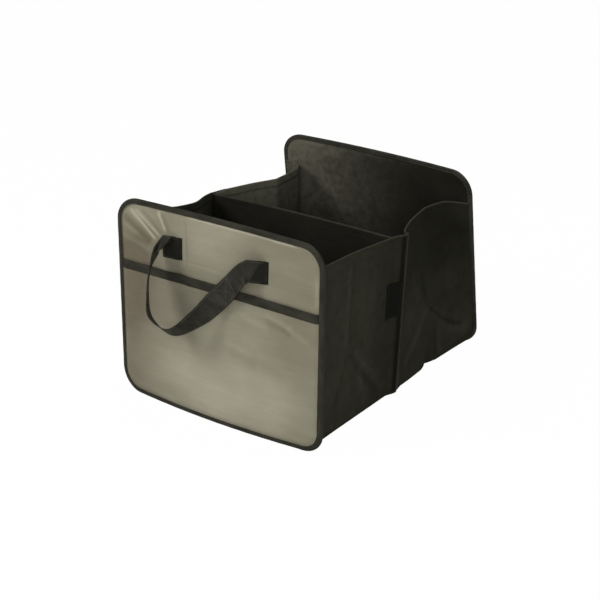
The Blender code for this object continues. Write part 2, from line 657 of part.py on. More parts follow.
def closure_patch(name, side):
    """Patch of hook tape sewn to the outside of the front bay, just before the seam."""
    rise = np.linspace(-0.5, 0.5, 5)[:, None] * PATCH_HEIGHT
    end = FIN_Y - PATCH_EDGE
    start = end - PATCH_WIDTH
    y = np.array([end, SEAM_Y, (start + SEAM_Y) / 2, start]) + 0.0 * rise
    z = PATCH_CENTRE_Z + rise + 0.0 * y
    base = FLOOR_Z + FOOT_RADIUS
    height = (z - base) / (SEAM_TOP - base)
    clear = BAY_THICK / 2 + 2 * GAP + PATCH_THICK / 2
    x = side.sign * (front_wall_half(y, height, side) + clear)
    points = np.stack([x, y, z], axis=-1)
    return sheet(name, points, PATCH_THICK, material(name, HOOK_BLACK, 0.95))


def centre_on_origin():
    """Slide the whole part so that the middle of its box stands over the origin."""
    bpy.context.view_layer.update()
    graph = bpy.context.evaluated_depsgraph_get()
    corners = []
    for piece in PARTS.objects:
        if piece.type == "MESH":
            shape = piece.evaluated_get(graph)
            corners += [shape.matrix_world @ vertex.co for vertex in shape.data.vertices]
    corners = np.array(corners)
    middle = (corners.min(axis=0) + corners.max(axis=0)) / 2
    ORIGIN.location = (-middle[0], -middle[1], 0.0)


for old in list(bpy.data.objects):
    bpy.data.objects.remove(old)
bpy.context.scene.collection.children.link(PARTS)
bpy.context.scene.collection.children.link(CUTTERS)
ORIGIN = bpy.data.objects.new("organizer_origin", None)
PARTS.objects.link(ORIGIN)

for panel in (FRONT, REAR):
    panel_board(panel)
    panel_cover(panel)
    panel_lining(panel)
    panel_pocket(panel)
    pocket_band(panel)
    edge_tape(panel)
    handle(panel)
bay_cloths()
divider()
base_boards()
closure_patch("right_closure_patch", RIGHT)
closure_patch("left_closure_patch", LEFT)
centre_on_origin()
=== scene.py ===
# %% [markdown]
# # A folding organizer for a car boot
# The real object is sewn from cloth and stiffened with boards. Two stiff panels with bound edges stand at
# its ends, black cloth runs between them as two open bays, and a board in a sleeve stands between the
# bays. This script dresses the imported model: it keeps the boards and lays finer cloth, tape, webbing and
# stitches in the places of the plain solids.

import bpy
import numpy as np
from mathutils import Matrix, Vector


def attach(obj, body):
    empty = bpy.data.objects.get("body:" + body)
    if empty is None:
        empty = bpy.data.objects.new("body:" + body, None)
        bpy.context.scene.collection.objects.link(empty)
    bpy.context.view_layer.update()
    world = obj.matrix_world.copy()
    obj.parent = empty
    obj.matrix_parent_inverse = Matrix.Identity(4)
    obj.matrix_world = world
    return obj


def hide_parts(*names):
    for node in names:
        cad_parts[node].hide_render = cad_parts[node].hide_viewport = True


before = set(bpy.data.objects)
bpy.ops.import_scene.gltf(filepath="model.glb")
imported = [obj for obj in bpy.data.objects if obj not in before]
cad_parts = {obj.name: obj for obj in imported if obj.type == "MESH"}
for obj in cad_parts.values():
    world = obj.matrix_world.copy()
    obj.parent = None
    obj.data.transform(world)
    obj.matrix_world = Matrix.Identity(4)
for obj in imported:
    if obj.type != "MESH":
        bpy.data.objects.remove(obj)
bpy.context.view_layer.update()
print("nodes:", len(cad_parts))

# %% [markdown]
# ## Camera and studio
# The camera stands where the photographer stood: to the right, in front and a little above. Its place came
# from fitting the outlines of both end panels. The studio is plain: a pale floor, a pale sky and large
# soft lamps. The main lamp is high on the left, because the strap's shadows fall to the right.

# %% Camera
scene = bpy.context.scene
AZIMUTH = np.radians(35.03)
ELEVATION = np.radians(23.14)
ROLL = np.radians(0.671)
CAMERA_PLACE = (1.1681, -1.6779, 0.9929)
SENSOR_WIDTH, LENS = 36.0, 82.86

back = np.array([np.sin(AZIMUTH) * np.cos(ELEVATION), -np.cos(AZIMUTH) * np.cos(ELEVATION),
                 np.sin(ELEVATION)])
horizontal = np.array([np.cos(AZIMUTH), np.sin(AZIMUTH), 0.0])
upright = np.cross(back, horizontal)
right = horizontal * np.cos(ROLL) + upright * np.sin(ROLL)
up = upright * np.cos(ROLL) - horizontal * np.sin(ROLL)
turned = Matrix(np.stack([right, up, back], axis=1)).to_4x4()
camera = bpy.data.objects.new("camera", bpy.data.cameras.new("camera"))
camera.data.sensor_width = SENSOR_WIDTH
camera.data.lens = LENS
camera.matrix_world = Matrix.Translation(CAMERA_PLACE) @ turned
scene.collection.objects.link(camera)
scene.camera = camera
print("camera looks along", tuple(np.round(-back, 3)))


# %% Lamps
def softbox(name, place, target, size, power, colour):
    """A rectangular lamp at a place, facing a target."""
    lamp = bpy.data.lights.new(name, "AREA")
    lamp.shape = "RECTANGLE"
    lamp.size, lamp.size_y = size
    lamp.energy = power
    lamp.color = colour
    holder = bpy.data.objects.new(name, lamp)
    away = (Vector(place) - Vector(target)).to_track_quat("Z", "Y")
    holder.matrix_world = Matrix.Translation(place) @ away.to_matrix().to_4x4()
    scene.collection.objects.link(holder)


softbox("key", place=(-1.3, -1.9, 1.9), target=(0.0, -0.1, 0.15), size=(0.9, 0.9), power=41.0,
        colour=(1.0, 0.98, 0.96))
softbox("fill", place=(1.5, -2.1, 1.2), target=(0.0, 0.0, 0.15), size=(1.2, 1.0), power=31.0,
        colour=(1.0, 0.99, 0.97))
softbox("top", place=(0.2, 0.5, 2.3), target=(0.0, 0.05, 0.1), size=(1.5, 1.5), power=19.0,
        colour=(1.0, 1.0, 0.98))


# %% Node helpers
def node(tree, kind, **values):
    """Add a node and set its named properties."""
    made = tree.nodes.new(kind)
    for key, value in values.items():
        setattr(made, key, value)
    return made


def maths(tree, operation, first, second=None):
    """A Math node on sockets or plain numbers."""
    made = node(tree, "ShaderNodeMath", operation=operation)
    for k, value in enumerate((first, second)):
        if isinstance(value, (int, float)):
            made.inputs[k].default_value = value
        elif value is not None:
            tree.links.new(value, made.inputs[k])
    return made.outputs[0]


def plain_shader(tree, kind, colour, strength=None):
    """Output of a shader of one colour, with its strength where it has one."""
    made = node(tree, kind)
    made.inputs["Color"].default_value = (*colour, 1.0)
    if strength is not None:
        made.inputs["Strength"].default_value = strength
    return made.outputs[0]


def two_faces(tree, output, lit, seen, share):
    """Show lit to rays that gather light, and mix in seen by a share for rays that see directly.

    A ray sees directly when it comes from the camera or has gone through clear glass.
    """
    path = node(tree, "ShaderNodeLightPath")
    direct = maths(tree, "MAXIMUM", path.outputs["Is Camera Ray"], path.outputs["Is Transmission Ray"])
    choice = node(tree, "ShaderNodeMixShader")
    for k, socket in enumerate((maths(tree, "MULTIPLY", direct, share), lit, seen)):
        tree.links.new(socket, choice.inputs[k])
    tree.links.new(choice.outputs[0], node(tree, output).inputs[0])


# %% Sky and floor
WHITE, SKY_COLOUR, PAPER_COLOUR = (1.0, 1.0, 1.0), (1.0, 1.0, 0.98), (0.80, 0.79, 0.76)
SKY_STRENGTH, WHITE_SHARE = 0.26, 0.985
FLOOR_REACH, FLOOR_DROP = 4.0, 0.0004

sky = bpy.data.worlds.new("sky")
sky.use_nodes = True
scene.world = sky
tree = sky.node_tree
tree.nodes.clear()
two_faces(tree, "ShaderNodeOutputWorld",
          lit=plain_shader(tree, "ShaderNodeBackground", SKY_COLOUR, SKY_STRENGTH),
          seen=plain_shader(tree, "ShaderNodeBackground", WHITE, 1.0), share=1.0)

floor_mesh = bpy.data.meshes.new("floor")
floor_corners = [(x * FLOOR_REACH, y * FLOOR_REACH, -FLOOR_DROP)
                 for x, y in ((-1, -1), (1, -1), (1, 1), (-1, 1))]
floor_mesh.from_pydata(floor_corners, [], [(0, 1, 2, 3)])
floor = bpy.data.objects.new("floor", floor_mesh)
scene.collection.objects.link(floor)

paper = bpy.data.materials.new("floor_paper")
paper.use_nodes = True
tree = paper.node_tree
tree.nodes.clear()
two_faces(tree, "ShaderNodeOutputMaterial", lit=plain_shader(tree, "ShaderNodeBsdfDiffuse", PAPER_COLOUR),
          seen=plain_shader(tree, "ShaderNodeEmission", WHITE, 1.0), share=WHITE_SHARE)
floor_mesh.materials.append(paper)
scene.view_settings.view_transform = "Standard"
print(f"floor: {2 * FLOOR_REACH:.0f} m wide, {1000 * FLOOR_DROP:.1f} mm below the frame's origin")


# %% [markdown]
# ## Finishes
# Every cloth here is a variation on one idea: a colour that wanders a little, a roughness that wanders
# with it, and a bump that has the cloth's own grain. The grain follows the piece's UV map, which is laid
# out in metres, so a texture keeps its real scale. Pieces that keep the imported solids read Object
# coordinates.

# %% Helpers for finishes
def weighted(tree, *parts):
    """Sum of sockets, each times its own weight."""
    total = None
    for socket, weight in parts:
        part = socket if weight == 1.0 else maths(tree, "MULTIPLY", socket, weight)
        total = part if total is None else maths(tree, "ADD", total, part)
    return total


def noise(tree, vector, scale, detail=3.0, roughness=0.55, stretch=(1.0, 1.0, 1.0)):
    """Cloudy noise from 0 to 1, stretched along an axis where its coordinate is scaled down first."""
    place = node(tree, "ShaderNodeMapping")
    place.inputs["Scale"].default_value = stretch
    tree.links.new(vector, place.inputs["Vector"])
    cloud = node(tree, "ShaderNodeTexNoise")
    cloud.inputs["Scale"].default_value = scale
    cloud.inputs["Detail"].default_value = detail
    cloud.inputs["Roughness"].default_value = roughness
    tree.links.new(place.outputs[0], cloud.inputs["Vector"])
    return cloud.outputs[0]


def blend_colours(tree, factor, low, high):
    """low where the factor is 0, high where it is 1; each is a plain colour or a socket."""
    mix = node(tree, "ShaderNodeMix", data_type="RGBA")
    tree.links.new(factor, mix.inputs[0])
    for k, colour in ((6, low), (7, high)):
        if isinstance(colour, tuple):
            mix.inputs[k].default_value = (*colour, 1.0)
        else:
            tree.links.new(colour, mix.inputs[k])
    return mix.outputs[2]


def level(tree, socket, from_low, from_high, to_low, to_high):
    """Carry one range of numbers to another, clamped."""
    made = node(tree, "ShaderNodeMapRange")
    tree.links.new(socket, made.inputs[0])
    for k, value in enumerate((from_low, from_high, to_low, to_high)):
        made.inputs[k + 1].default_value = value
    return made.outputs[0]


def bumped(tree, height, distance, strength=1.0, under=None):
    """A bump whose height socket runs from 0 to 1 over a distance in metres."""
    made = node(tree, "ShaderNodeBump")
    made.inputs["Strength"].default_value = strength
    made.inputs["Distance"].default_value = distance
    tree.links.new(height, made.inputs["Height"])
    if under is not None:
        tree.links.new(under, made.inputs["Normal"])
    return made.outputs[0]


def new_finish(name, roughness, specular, sheen=0.0, source="UV"):
    """A material, its node tree, its shader and its coordinate, ready to be dressed."""
    made = bpy.data.materials.new(name)
    made.use_nodes = True
    tree = made.node_tree
    shader = tree.nodes["Principled BSDF"]
    shader.inputs["Roughness"].default_value = roughness
    shader.inputs["Specular IOR Level"].default_value = specular
    shader.inputs["Sheen Weight"].default_value = sheen
    shader.inputs["Sheen Roughness"].default_value = 0.5
    where = node(tree, "ShaderNodeTexCoord").outputs[source]
    return made, tree, shader, where


def dress(tree, shader, colour, normal=None, roughness=None):
    """Link sockets to the shader's colour, normal and roughness."""
    for name, socket in (("Base Color", colour), ("Normal", normal), ("Roughness", roughness)):
        if socket is not None:
            tree.links.new(socket, shader.inputs[name])


# %% [markdown]
# ### Coated taupe cloth
# The panels' outer cloth is non-woven cloth with a thin satin coat. From a step away it shows soft level
# streaks where the coat was stretched over the board, and close up the pressed dots of the cloth below.
# The coat's broad patches from brown to pale are painted sheen and painted shade, and its creases get
# painted highlights with painted shade beside them. Those belong to places on the panel, so they are
# painted on the mesh as a tone, and the material reads it.

# %% Coated cloth
# The ramp runs from painted shade at its brown end to painted sheen at its pale end.
COAT_TONES = ((0.0, (0.112, 0.096, 0.064)), (0.5, (0.194, 0.184, 0.134)), (1.0, (0.312, 0.290, 0.226)))
COAT_DOTS, FELT_DOTS, HOOK_ROWS = 0.0016, 0.0026, 0.0032


def painted(tree, name):
    """A value painted on the mesh's points by this script, 0 where a mesh has none."""
    return node(tree, "ShaderNodeAttribute", attribute_name=name).outputs["Fac"]


def pressed_dots(tree, where, pitch):
    """Dots pressed in rows: the product of two sines across the cloth, kept where it is high."""
    apart = node(tree, "ShaderNodeSeparateXYZ")
    tree.links.new(where, apart.inputs[0])
    along, across = (maths(tree, "SINE", maths(tree, "MULTIPLY", apart.outputs[k], 2.0 * np.pi / pitch))
                     for k in (0, 1))
    return level(tree, maths(tree, "MULTIPLY", along, across), 0.2, 0.8, 0.0, 1.0)


def coated_cloth():
    """Brown, grey and pale taupe in turn along the painted tone of sheen and shade, with clouds and streaks.
    """
    made, tree, shader, where = new_finish("taupe_coated_cloth", 0.42, 0.26, sheen=0.02)
    broad = noise(tree, where, 9.0, 2.0, 0.5)
    streaks = noise(tree, where, 46.0, 5.0, 0.62, (0.25, 1.0, 1.0))
    grain = noise(tree, where, 1900.0, 2.0, 0.6)
    ramp = node(tree, "ShaderNodeValToRGB")
    ramp.color_ramp.elements.new(0.5)
    for stop, (position, colour) in zip(ramp.color_ramp.elements, COAT_TONES):
        stop.position = position
        stop.color = (*colour, 1.0)
    tone = weighted(tree, (painted(tree, "tone"), 1.0), (level(tree, broad, 0.3, 0.7, -0.10, 0.10), 1.0),
                    (level(tree, streaks, 0.3, 0.7, -0.08, 0.08), 1.0))
    tree.links.new(tone, ramp.inputs[0])
    pressed = weighted(tree, (grain, 0.5), (pressed_dots(tree, where, COAT_DOTS), 1.0))
    normal = bumped(tree, streaks, 0.0022, 0.6, under=bumped(tree, pressed, 0.00006, 0.5))
    dress(tree, shader, ramp.outputs[0], normal, level(tree, streaks, 0.3, 0.7, 0.34, 0.48))
    return made


# %% [markdown]
# ### Black non-woven cloth, tape and webbing
# Non-woven cloth is a felt of fine threads pressed with a pattern of dots. It is almost black and quite
# matt. A grey painted light where light grazes it and on its fold ridges, and painted shade in its grooves
# and along its seams, are painted on the mesh, as the coat's tone is. The tape and the strap are a little
# greyer and have a ribbed grain along their length.

# %% Dark cloths
BLACK_DARK, BLACK_PALE = (0.0130, 0.0128, 0.0082), (0.0270, 0.0268, 0.0178)
# Grey of the painted light, and near-black of the painted shade.
PAINTED_LIGHT_GREY, PAINTED_SHADE_BLACK = (0.102, 0.098, 0.074), (0.003, 0.003, 0.002)


def felt(name, dark, pale, source="UV"):
    """Near-black cloth: short threads in two directions, pressed dots, and the painted light and painted
    shade.
    """
    made, tree, shader, where = new_finish(name, 0.90, 0.04, sheen=0.01, source=source)
    patches = noise(tree, where, 18.0, 5.0, 0.62)
    threads = noise(tree, where, 650.0, 4.0, 0.7, (1.0, 0.25, 1.0))
    crossing = noise(tree, where, 650.0, 4.0, 0.7, (0.25, 1.0, 1.0))
    fuzz = maths(tree, "MAXIMUM", threads, crossing)
    tone = weighted(tree, (patches, 0.55), (fuzz, 0.45))
    colour = blend_colours(tree, level(tree, tone, 0.42, 0.66, 0.0, 1.0), dark, pale)
    mottle = weighted(tree, (noise(tree, where, 700.0, 3.0, 0.7), 0.5),
                      (noise(tree, where, 60.0, 5.0, 0.65), 0.5))
    painted_light = maths(tree, "MULTIPLY", painted(tree, "painted_light"), level(tree, mottle, 0.38, 0.62, 0.45, 1.55))
    colour = blend_colours(tree, painted_light, colour, PAINTED_LIGHT_GREY)
    colour = blend_colours(tree, painted(tree, "shade"), colour, PAINTED_SHADE_BLACK)
    relief = weighted(tree, (fuzz, 1.0), (pressed_dots(tree, where, FELT_DOTS), -0.6))
    roughness = level(tree, patches, 0.3, 0.7, 0.78, 0.94)
    dress(tree, shader, colour, bumped(tree, relief, 0.00025, 0.6), roughness)
    return made


def ribbed_tape(name, dark, pale, rib, specular):
    """Ribbed tape: a slanting sine on the UV map, rough threads, worn patches and the painted shade."""
    made, tree, shader, where = new_finish(name, 0.62, specular, sheen=0.01)
    apart = node(tree, "ShaderNodeSeparateXYZ")
    tree.links.new(where, apart.inputs[0])
    slant = weighted(tree, (apart.outputs[0], 1.0), (apart.outputs[1], 0.6))
    ribs = maths(tree, "SINE", maths(tree, "MULTIPLY", slant, 2.0 * np.pi / rib))
    threads = noise(tree, where, 900.0, 3.0, 0.65)
    worn = noise(tree, where, 60.0, 4.0, 0.6, (0.4, 1.0, 1.0))
    tone = weighted(tree, (worn, 0.6), (threads, 0.4), (ribs, 0.03), (painted(tree, "shade"), -0.16))
    colour = blend_colours(tree, level(tree, tone, 0.38, 0.62, 0.0, 1.0), dark, pale)
    relief = weighted(tree, (ribs, 0.25), (threads, 1.0))
    dress(tree, shader, colour, bumped(tree, relief, 0.0002, 0.6), level(tree, worn, 0.3, 0.7, 0.52, 0.74))
    return made


def board_face(name, dark, pale):
    """Grey board: specks over a broad cloud, on Object coordinates."""
    made, tree, shader, where = new_finish(name, 0.8, 0.25, source="Object")
    specks = noise(tree, where, 420.0, 4.0, 0.7)
    tone = weighted(tree, (specks, 0.6), (noise(tree, where, 12.0, 3.0, 0.5), 0.4))
    colour = blend_colours(tree, level(tree, tone, 0.35, 0.65, 0.0, 1.0), dark, pale)
    dress(tree, shader, colour, bumped(tree, specks, 0.0002, 0.5))
    return made


def hook_tape_face(name):
    """Rows of tiny hooks over black tape: bumps on a square pitch, with dust between them."""
    made, tree, shader, where = new_finish(name, 0.9, 0.03)
    dust = noise(tree, where, 300.0, 3.0, 0.7)
    hooks = weighted(tree, (pressed_dots(tree, where, HOOK_ROWS), 1.0), (dust, 1.0))
    colour = blend_colours(tree, dust, (0.004, 0.004, 0.0035), (0.012, 0.012, 0.010))
    dress(tree, shader, colour, bumped(tree, hooks, 0.0006, 0.9))
    return made


def thread_face(name, dark, pale):
    """Twisted sewing thread: a fine noise between two colours, satin."""
    made, tree, shader, where = new_finish(name, 0.6, 0.15, source="Object")
    dress(tree, shader, blend_colours(tree, noise(tree, where, 2500.0, 2.0, 0.5), dark, pale))
    return made


FINISHES = {
    "taupe": coated_cloth(),
    "black": felt("black_cloth_finish", BLACK_DARK, BLACK_PALE),
    "inner": felt("inner_cloth_finish", (0.0090, 0.0086, 0.0064), (0.0160, 0.0152, 0.0114)),
    "tape": ribbed_tape("edge_tape_finish", (0.0128, 0.0124, 0.0092), (0.0365, 0.0354, 0.0262),
                        rib=0.0011, specular=0.08),
    "strap": ribbed_tape("strap_finish", (0.0065, 0.0062, 0.0047), (0.0330, 0.0322, 0.0252),
                         rib=0.0014, specular=0.12),
    "board": board_face("grey_board_finish", (0.060, 0.057, 0.050), (0.110, 0.104, 0.092)),
    "base": felt("base_board_finish", BLACK_DARK, BLACK_PALE, source="Object"),
    "hook": hook_tape_face("hook_tape_finish"),
    "black_thread": thread_face("black_thread_finish", (0.012, 0.012, 0.009), (0.030, 0.030, 0.023)),
    "tape_thread": thread_face("tape_thread_finish", (0.022, 0.0215, 0.017), (0.055, 0.0535, 0.043)),
    "grey_thread": thread_face("grey_thread_finish", (0.055, 0.054, 0.044), (0.120, 0.117, 0.095)),
}
print("finishes:", ", ".join(FINISHES))


# %% [markdown]
# ## Making cloth from a grid
# A piece of cloth is a grid of points worked out at once with numpy. The mesh gets its points, its faces,
# its painted values and a UV map whose unit is the metre, and a Solidify modifier then gives the cloth its
# thickness, half to each side.

# %% Grid to mesh
SHARP_ANGLE = np.radians(50.0)


def lengths_along(points, axis):
    """Distance travelled along a grid's rows or columns, averaged over the other direction."""
    steps = np.linalg.norm(np.diff(points, axis=axis), axis=-1).mean(axis=1 - axis)
    return np.concatenate([[0.0], np.cumsum(steps)])


def cloth(name, points, thickness, finish, replaces=None, ring=False, holes=None, even=True,
          paint=None):
    """Mesh of a grid of points (rows, columns, 3), thickened both ways, placed on the frame.

    ring joins the last column to the first, holes tests which faces are left out by their middles, even
    keeps the thickness at sharp bends, and paint holds values for each point by the name under which a
    material reads them.
    """
    rows, columns = points.shape[:2]
    row, column = np.meshgrid(np.arange(rows - 1), np.arange(columns - 1), indexing="ij")
    corner_rows = np.stack([row, row, row + 1, row + 1], axis=-1).reshape(-1, 4)
    corner_columns = np.stack([column, column + 1, column + 1, column], axis=-1).reshape(-1, 4)
    if holes is not None:
        middles = points[corner_rows, corner_columns].mean(axis=1)
        keep = ~holes(middles)
        corner_rows, corner_columns = corner_rows[keep], corner_columns[keep]
    u = lengths_along(points, 1)[corner_columns]
    v = lengths_along(points, 0)[corner_rows]
    around = columns - 1 if ring else columns
    index = corner_rows * around + (corner_columns % around)
    mesh = bpy.data.meshes.new(name)
    places = points[:, :around].reshape(-1, 3)
    mesh.vertices.add(len(places))
    mesh.vertices.foreach_set("co", places.ravel())
    mesh.loops.add(index.size)
    mesh.loops.foreach_set("vertex_index", index.ravel())
    mesh.polygons.add(len(index))
    mesh.polygons.foreach_set("loop_start", np.arange(0, index.size, 4))
    uv = mesh.uv_layers.new(name="metres")
    uv.data.foreach_set("uv", np.stack([u, v], axis=-1).ravel())
    for key, values in (paint or {}).items():
        layer = mesh.attributes.new(key, "FLOAT", "POINT")
        spread = np.broadcast_to(values, (rows, columns))[:, :around]
        layer.data.foreach_set("value", spread.ravel().astype(float))
    mesh.update(calc_edges=True)
    mesh.validate()
    mesh.shade_smooth()
    mesh.set_sharp_from_angle(angle=SHARP_ANGLE)
    piece = bpy.data.objects.new(name, mesh)
    scene.collection.objects.link(piece)
    mesh.materials.append(FINISHES[finish])
    wall = piece.modifiers.new("thickness", "SOLIDIFY")
    wall.thickness = thickness
    wall.offset = 0.0
    wall.use_even_offset = even
    wall.thickness_clamp = 1.0
    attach(piece, "root")
    if replaces:
        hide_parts(replaces)
    print(f"{name}: {len(index)} faces")
    return piece


# %% Helpers for shapes
def ripples(u, v, seed, wavelength, count=14):
    """Gentle waves about 0: a sum of sines whose directions and lengths come from a seeded generator."""
    draw = np.random.default_rng(seed)
    angle = draw.uniform(0.0, 2.0 * np.pi, count)
    length = wavelength * draw.uniform(0.6, 1.7, count)
    phase = draw.uniform(0.0, 2.0 * np.pi, count)
    total = np.zeros(np.broadcast(u, v).shape)
    for a, size, shift in zip(angle, length, phase):
        total += np.sin((u * np.cos(a) + v * np.sin(a)) * 2.0 * np.pi / size + shift)
    return total / np.sqrt(count)


def smooth(t):
    """Smooth step from 0 to 1: 3t squared less 2t cubed."""
    t = np.clip(t, 0.0, 1.0)
    return t * t * (3.0 - 2.0 * t)


def crease(u, v, start, end, width, fade):
    """1 on the line from start to end, falling off as exp(-(distance / width) squared).

    It also fades to 0 at both ends, over a share fade of the line.
    """
    start, end = np.array(start), np.array(end)
    way = end - start
    reach = np.linalg.norm(way)
    share = ((u - start[0]) * way[0] + (v - start[1]) * way[1]) / reach**2
    near = np.clip(share, 0.0, 1.0)
    distance = np.hypot(u - start[0] - near * way[0], v - start[1] - near * way[1])
    ends = smooth(near / fade) * smooth((1.0 - near) / fade)
    return np.exp(-(distance / width) ** 2) * ends


def creased(u, v, lines, fade=0.15):
    """Sum of creases, each given by its start, end, strength and width."""
    return sum(strength * crease(u, v, start, end, width, fade) for start, end, strength, width in lines)


def travelled(points):
    """Distance travelled along a path at each of its points."""
    return np.concatenate([[0.0], np.cumsum(np.linalg.norm(np.diff(points, axis=0), axis=1))])


def sampled(values, travel, stops):
    """Columns of values, which are known at each travel, read at the stops."""
    return np.stack([np.interp(stops, travel, column) for column in values.T], axis=-1)


def unit(vectors):
    """The vectors' directions, with length 1."""
    return vectors / np.linalg.norm(vectors, axis=-1, keepdims=True)


def route(points, count):
    """Smooth curve: cubic pieces whose slopes at each point are weighted means of the chords beside it."""
    along = travelled(points[:, :3])
    steps = np.diff(along)
    slopes = np.diff(points, axis=0) / steps[:, None]
    leaning = slopes[:-1] * steps[1:, None] + slopes[1:] * steps[:-1, None]
    tangents = np.vstack([slopes[:1], leaning / (steps[1:] + steps[:-1])[:, None], slopes[-1:]])
    samples = np.linspace(0.0, along[-1], count)
    k = np.clip(np.searchsorted(along, samples, side="right") - 1, 0, len(steps) - 1)
    h = steps[k][:, None]
    t = (samples - along[k])[:, None] / h
    return ((2 * t**3 - 3 * t**2 + 1) * points[k] + (t**3 - 2 * t**2 + t) * h * tangents[k]
            + (3 * t**2 - 2 * t**3) * points[k + 1] + (t**3 - t**2) * h * tangents[k + 1])


# %% [markdown]
# ## Stitches
# A machine's seam shows as a row of short rounded bars of thread. All bars of a row are one mesh: a
# template of fourteen points is laid along the seam at even steps, lengthwise along it and upright on the
# cloth.

# %% Rows of stitches
BAR_SIDES = 6
BAR_CORNERS = 2 * BAR_SIDES + 2
BAR_TURN = np.linspace(0.0, 2.0 * np.pi, BAR_SIDES + 1)[:-1]


def stitch_row(path, off, pitch=0.0036, length=0.0026, wide=0.0005, tall=0.0005):
    """Corners and faces of the bars along a path; off points away from the cloth at each of its points.

    A bar has a ring of corners at 0.3 of its length on both sides of its middle, and two low tips at 0.5.
    """
    travel = travelled(path)
    stops = np.arange(pitch / 2, travel[-1], pitch)
    place = sampled(path, travel, stops)
    along = unit(sampled(path, travel, stops + pitch / 4) - sampled(path, travel, stops - pitch / 4))
    side = unit(np.cross(sampled(off, travel, stops), along))
    upward = np.cross(along, side)
    a = length * np.append(np.repeat([-0.3, 0.3], BAR_SIDES), [-0.5, 0.5])
    s = wide / 2 * np.append(np.tile(np.cos(BAR_TURN), 2), [0.0, 0.0])
    o = tall / 2 * np.append(np.tile(np.sin(BAR_TURN), 2), [-0.6, -0.6])
    corners = (place[:, None] + a[:, None] * along[:, None] + s[:, None] * side[:, None]
               + o[:, None] * upward[:, None])
    k = np.arange(BAR_SIDES)
    n = (k + 1) % BAR_SIDES
    quads = np.stack([k, n, n + BAR_SIDES, k + BAR_SIDES], axis=1)
    tips = np.vstack([np.stack([n, k, 0 * k + BAR_CORNERS - 2], axis=1),
                      np.stack([k + BAR_SIDES, n + BAR_SIDES, 0 * k + BAR_CORNERS - 1], axis=1)])
    first = BAR_CORNERS * np.arange(len(stops))[:, None, None]
    return corners.reshape(-1, 3), (quads + first).reshape(-1, 4), (tips + first).reshape(-1, 3)


def sew(name, rows, finish="black_thread"):
    """One object for several rows of stitches."""
    corners, faces, count = [], [], 0
    for places, quads, tips in rows:
        corners.append(places)
        faces += (quads + count).tolist() + (tips + count).tolist()
        count += len(places)
    mesh = bpy.data.meshes.new(name)
    mesh.from_pydata(np.vstack(corners).tolist(), [], faces)
    mesh.shade_smooth()
    mesh.materials.append(FINISHES[finish])
    seam = bpy.data.objects.new(name, mesh)
    scene.collection.objects.link(seam)
    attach(seam, "root")
    print(f"{name}: {count // BAR_CORNERS} stitches")


# %% [markdown]
# ## The end panels
# Each panel is a rounded rectangle that is bent a little: the front one is pushed out along its foot and
# the rear one leans inwards and bows back. Cover, pocket, lining and tape are all laid on the same bent
# face at their own depth, so they can never drift apart. Near the outline they dip to the thin rim that
# the tape grips.

# %% Panel sizes
FRONT_Y = -0.22533
PANEL_WIDTH, PANEL_HEIGHT, PANEL_CORNER, PANEL_SPACING = 0.380, 0.320, 0.038, 0.473
HALF = PANEL_WIDTH / 2
COVER_THICK, LINING_THICK, POCKET_THICK, BAY_THICK = 0.0008, 0.0006, 0.0006, 0.0008
TAPE_THICK, BAND_THICK, STRAP_THICK, GAP = 0.0010, 0.0005, 0.0014, 0.0003
TAPE_WIDTH, TAPE_ROUND, RIM_WIDTH, RIM_INSET = 0.0074, 0.0022, 0.0132, 0.0032
LIP_CLEAR = TAPE_WIDTH + 2 * GAP
COVER_DIP, LINING_DIP = 0.0016, 0.0009
COVER_DEPTH, LINING_DEPTH = 0.0004, 0.0057
POCKET_DEPTH = -GAP - POCKET_THICK / 2
TAPE_FRONT = POCKET_DEPTH + COVER_DIP - POCKET_THICK / 2 - GAP - TAPE_THICK / 2
TAPE_REAR = LINING_DEPTH - LINING_DIP + LINING_THICK / 2 + GAP + TAPE_THICK / 2
POCKET_HEIGHT, BAND_HEIGHT, POCKET_SLACK = 0.219, 0.013, 0.0015
SLITS, SLIT_Z, SLIT_WIDTH, SLIT_HEIGHT = (0.0885, -0.070), 0.259, 0.0085, 0.0347

# %% Bent faces
FRONT_TOP_BOW, FRONT_FOOT_BULGE = 0.006, 0.013
REAR_BOW, REAR_LEAN, REAR_TWIST = 0.012, 0.051, 0.008
CORNER_PULL = 0.0032


def front_face(x, z):
    """y of the front cover: a parabola across the panel, forward at the foot and back at the top."""
    across = 1.0 - (x / HALF) ** 2
    up = z / PANEL_HEIGHT
    return FRONT_Y + across * (FRONT_TOP_BOW * up - FRONT_FOOT_BULGE * (1.0 - up) ** 2)


def rear_face(x, z):
    """y of the rear cover: it leans forward and bows back in proportion to its height, and twists."""
    across = 1.0 - (x / HALF) ** 2
    up = z / PANEL_HEIGHT
    return FRONT_Y + PANEL_SPACING + up * (REAR_BOW * across - REAR_LEAN - REAR_TWIST * x / HALF)


PANELS = {"front": (front_face, 1.0), "rear": (rear_face, -1.0)}


def on_panel(end, x, z, depth):
    """Points at a depth behind the outer face of the front or rear panel.

    The front panel's lower right corner is pulled out of round: inside the corner's square both coordinates
    move by CORNER_PULL times 2ab / R squared, where a and b count from the centre of the corner's circle.
    """
    face, inward = PANELS[end]
    x, z, depth = np.broadcast_arrays(x, z, depth)
    y = face(x, z) + inward * depth
    if end == "front":
        a = np.clip(x - (HALF - PANEL_CORNER), 0.0, PANEL_CORNER)
        b = np.clip(PANEL_CORNER - z, 0.0, PANEL_CORNER)
        pull = CORNER_PULL * np.clip(2.0 * a * b / PANEL_CORNER**2, 0.0, 1.0)
        x, z = x + pull, z - pull
    return np.stack([x, y, z], axis=-1)


def edge_distance(x, z):
    """Distance inwards from the rounded outline: from the side, or from the corner's circle."""
    across = np.abs(x) - (HALF - PANEL_CORNER)
    up = np.abs(z - PANEL_HEIGHT / 2) - (PANEL_HEIGHT / 2 - PANEL_CORNER)
    outside = np.hypot(np.maximum(across, 0.0), np.maximum(up, 0.0))
    return PANEL_CORNER - outside - np.minimum(np.maximum(across, up), 0.0)


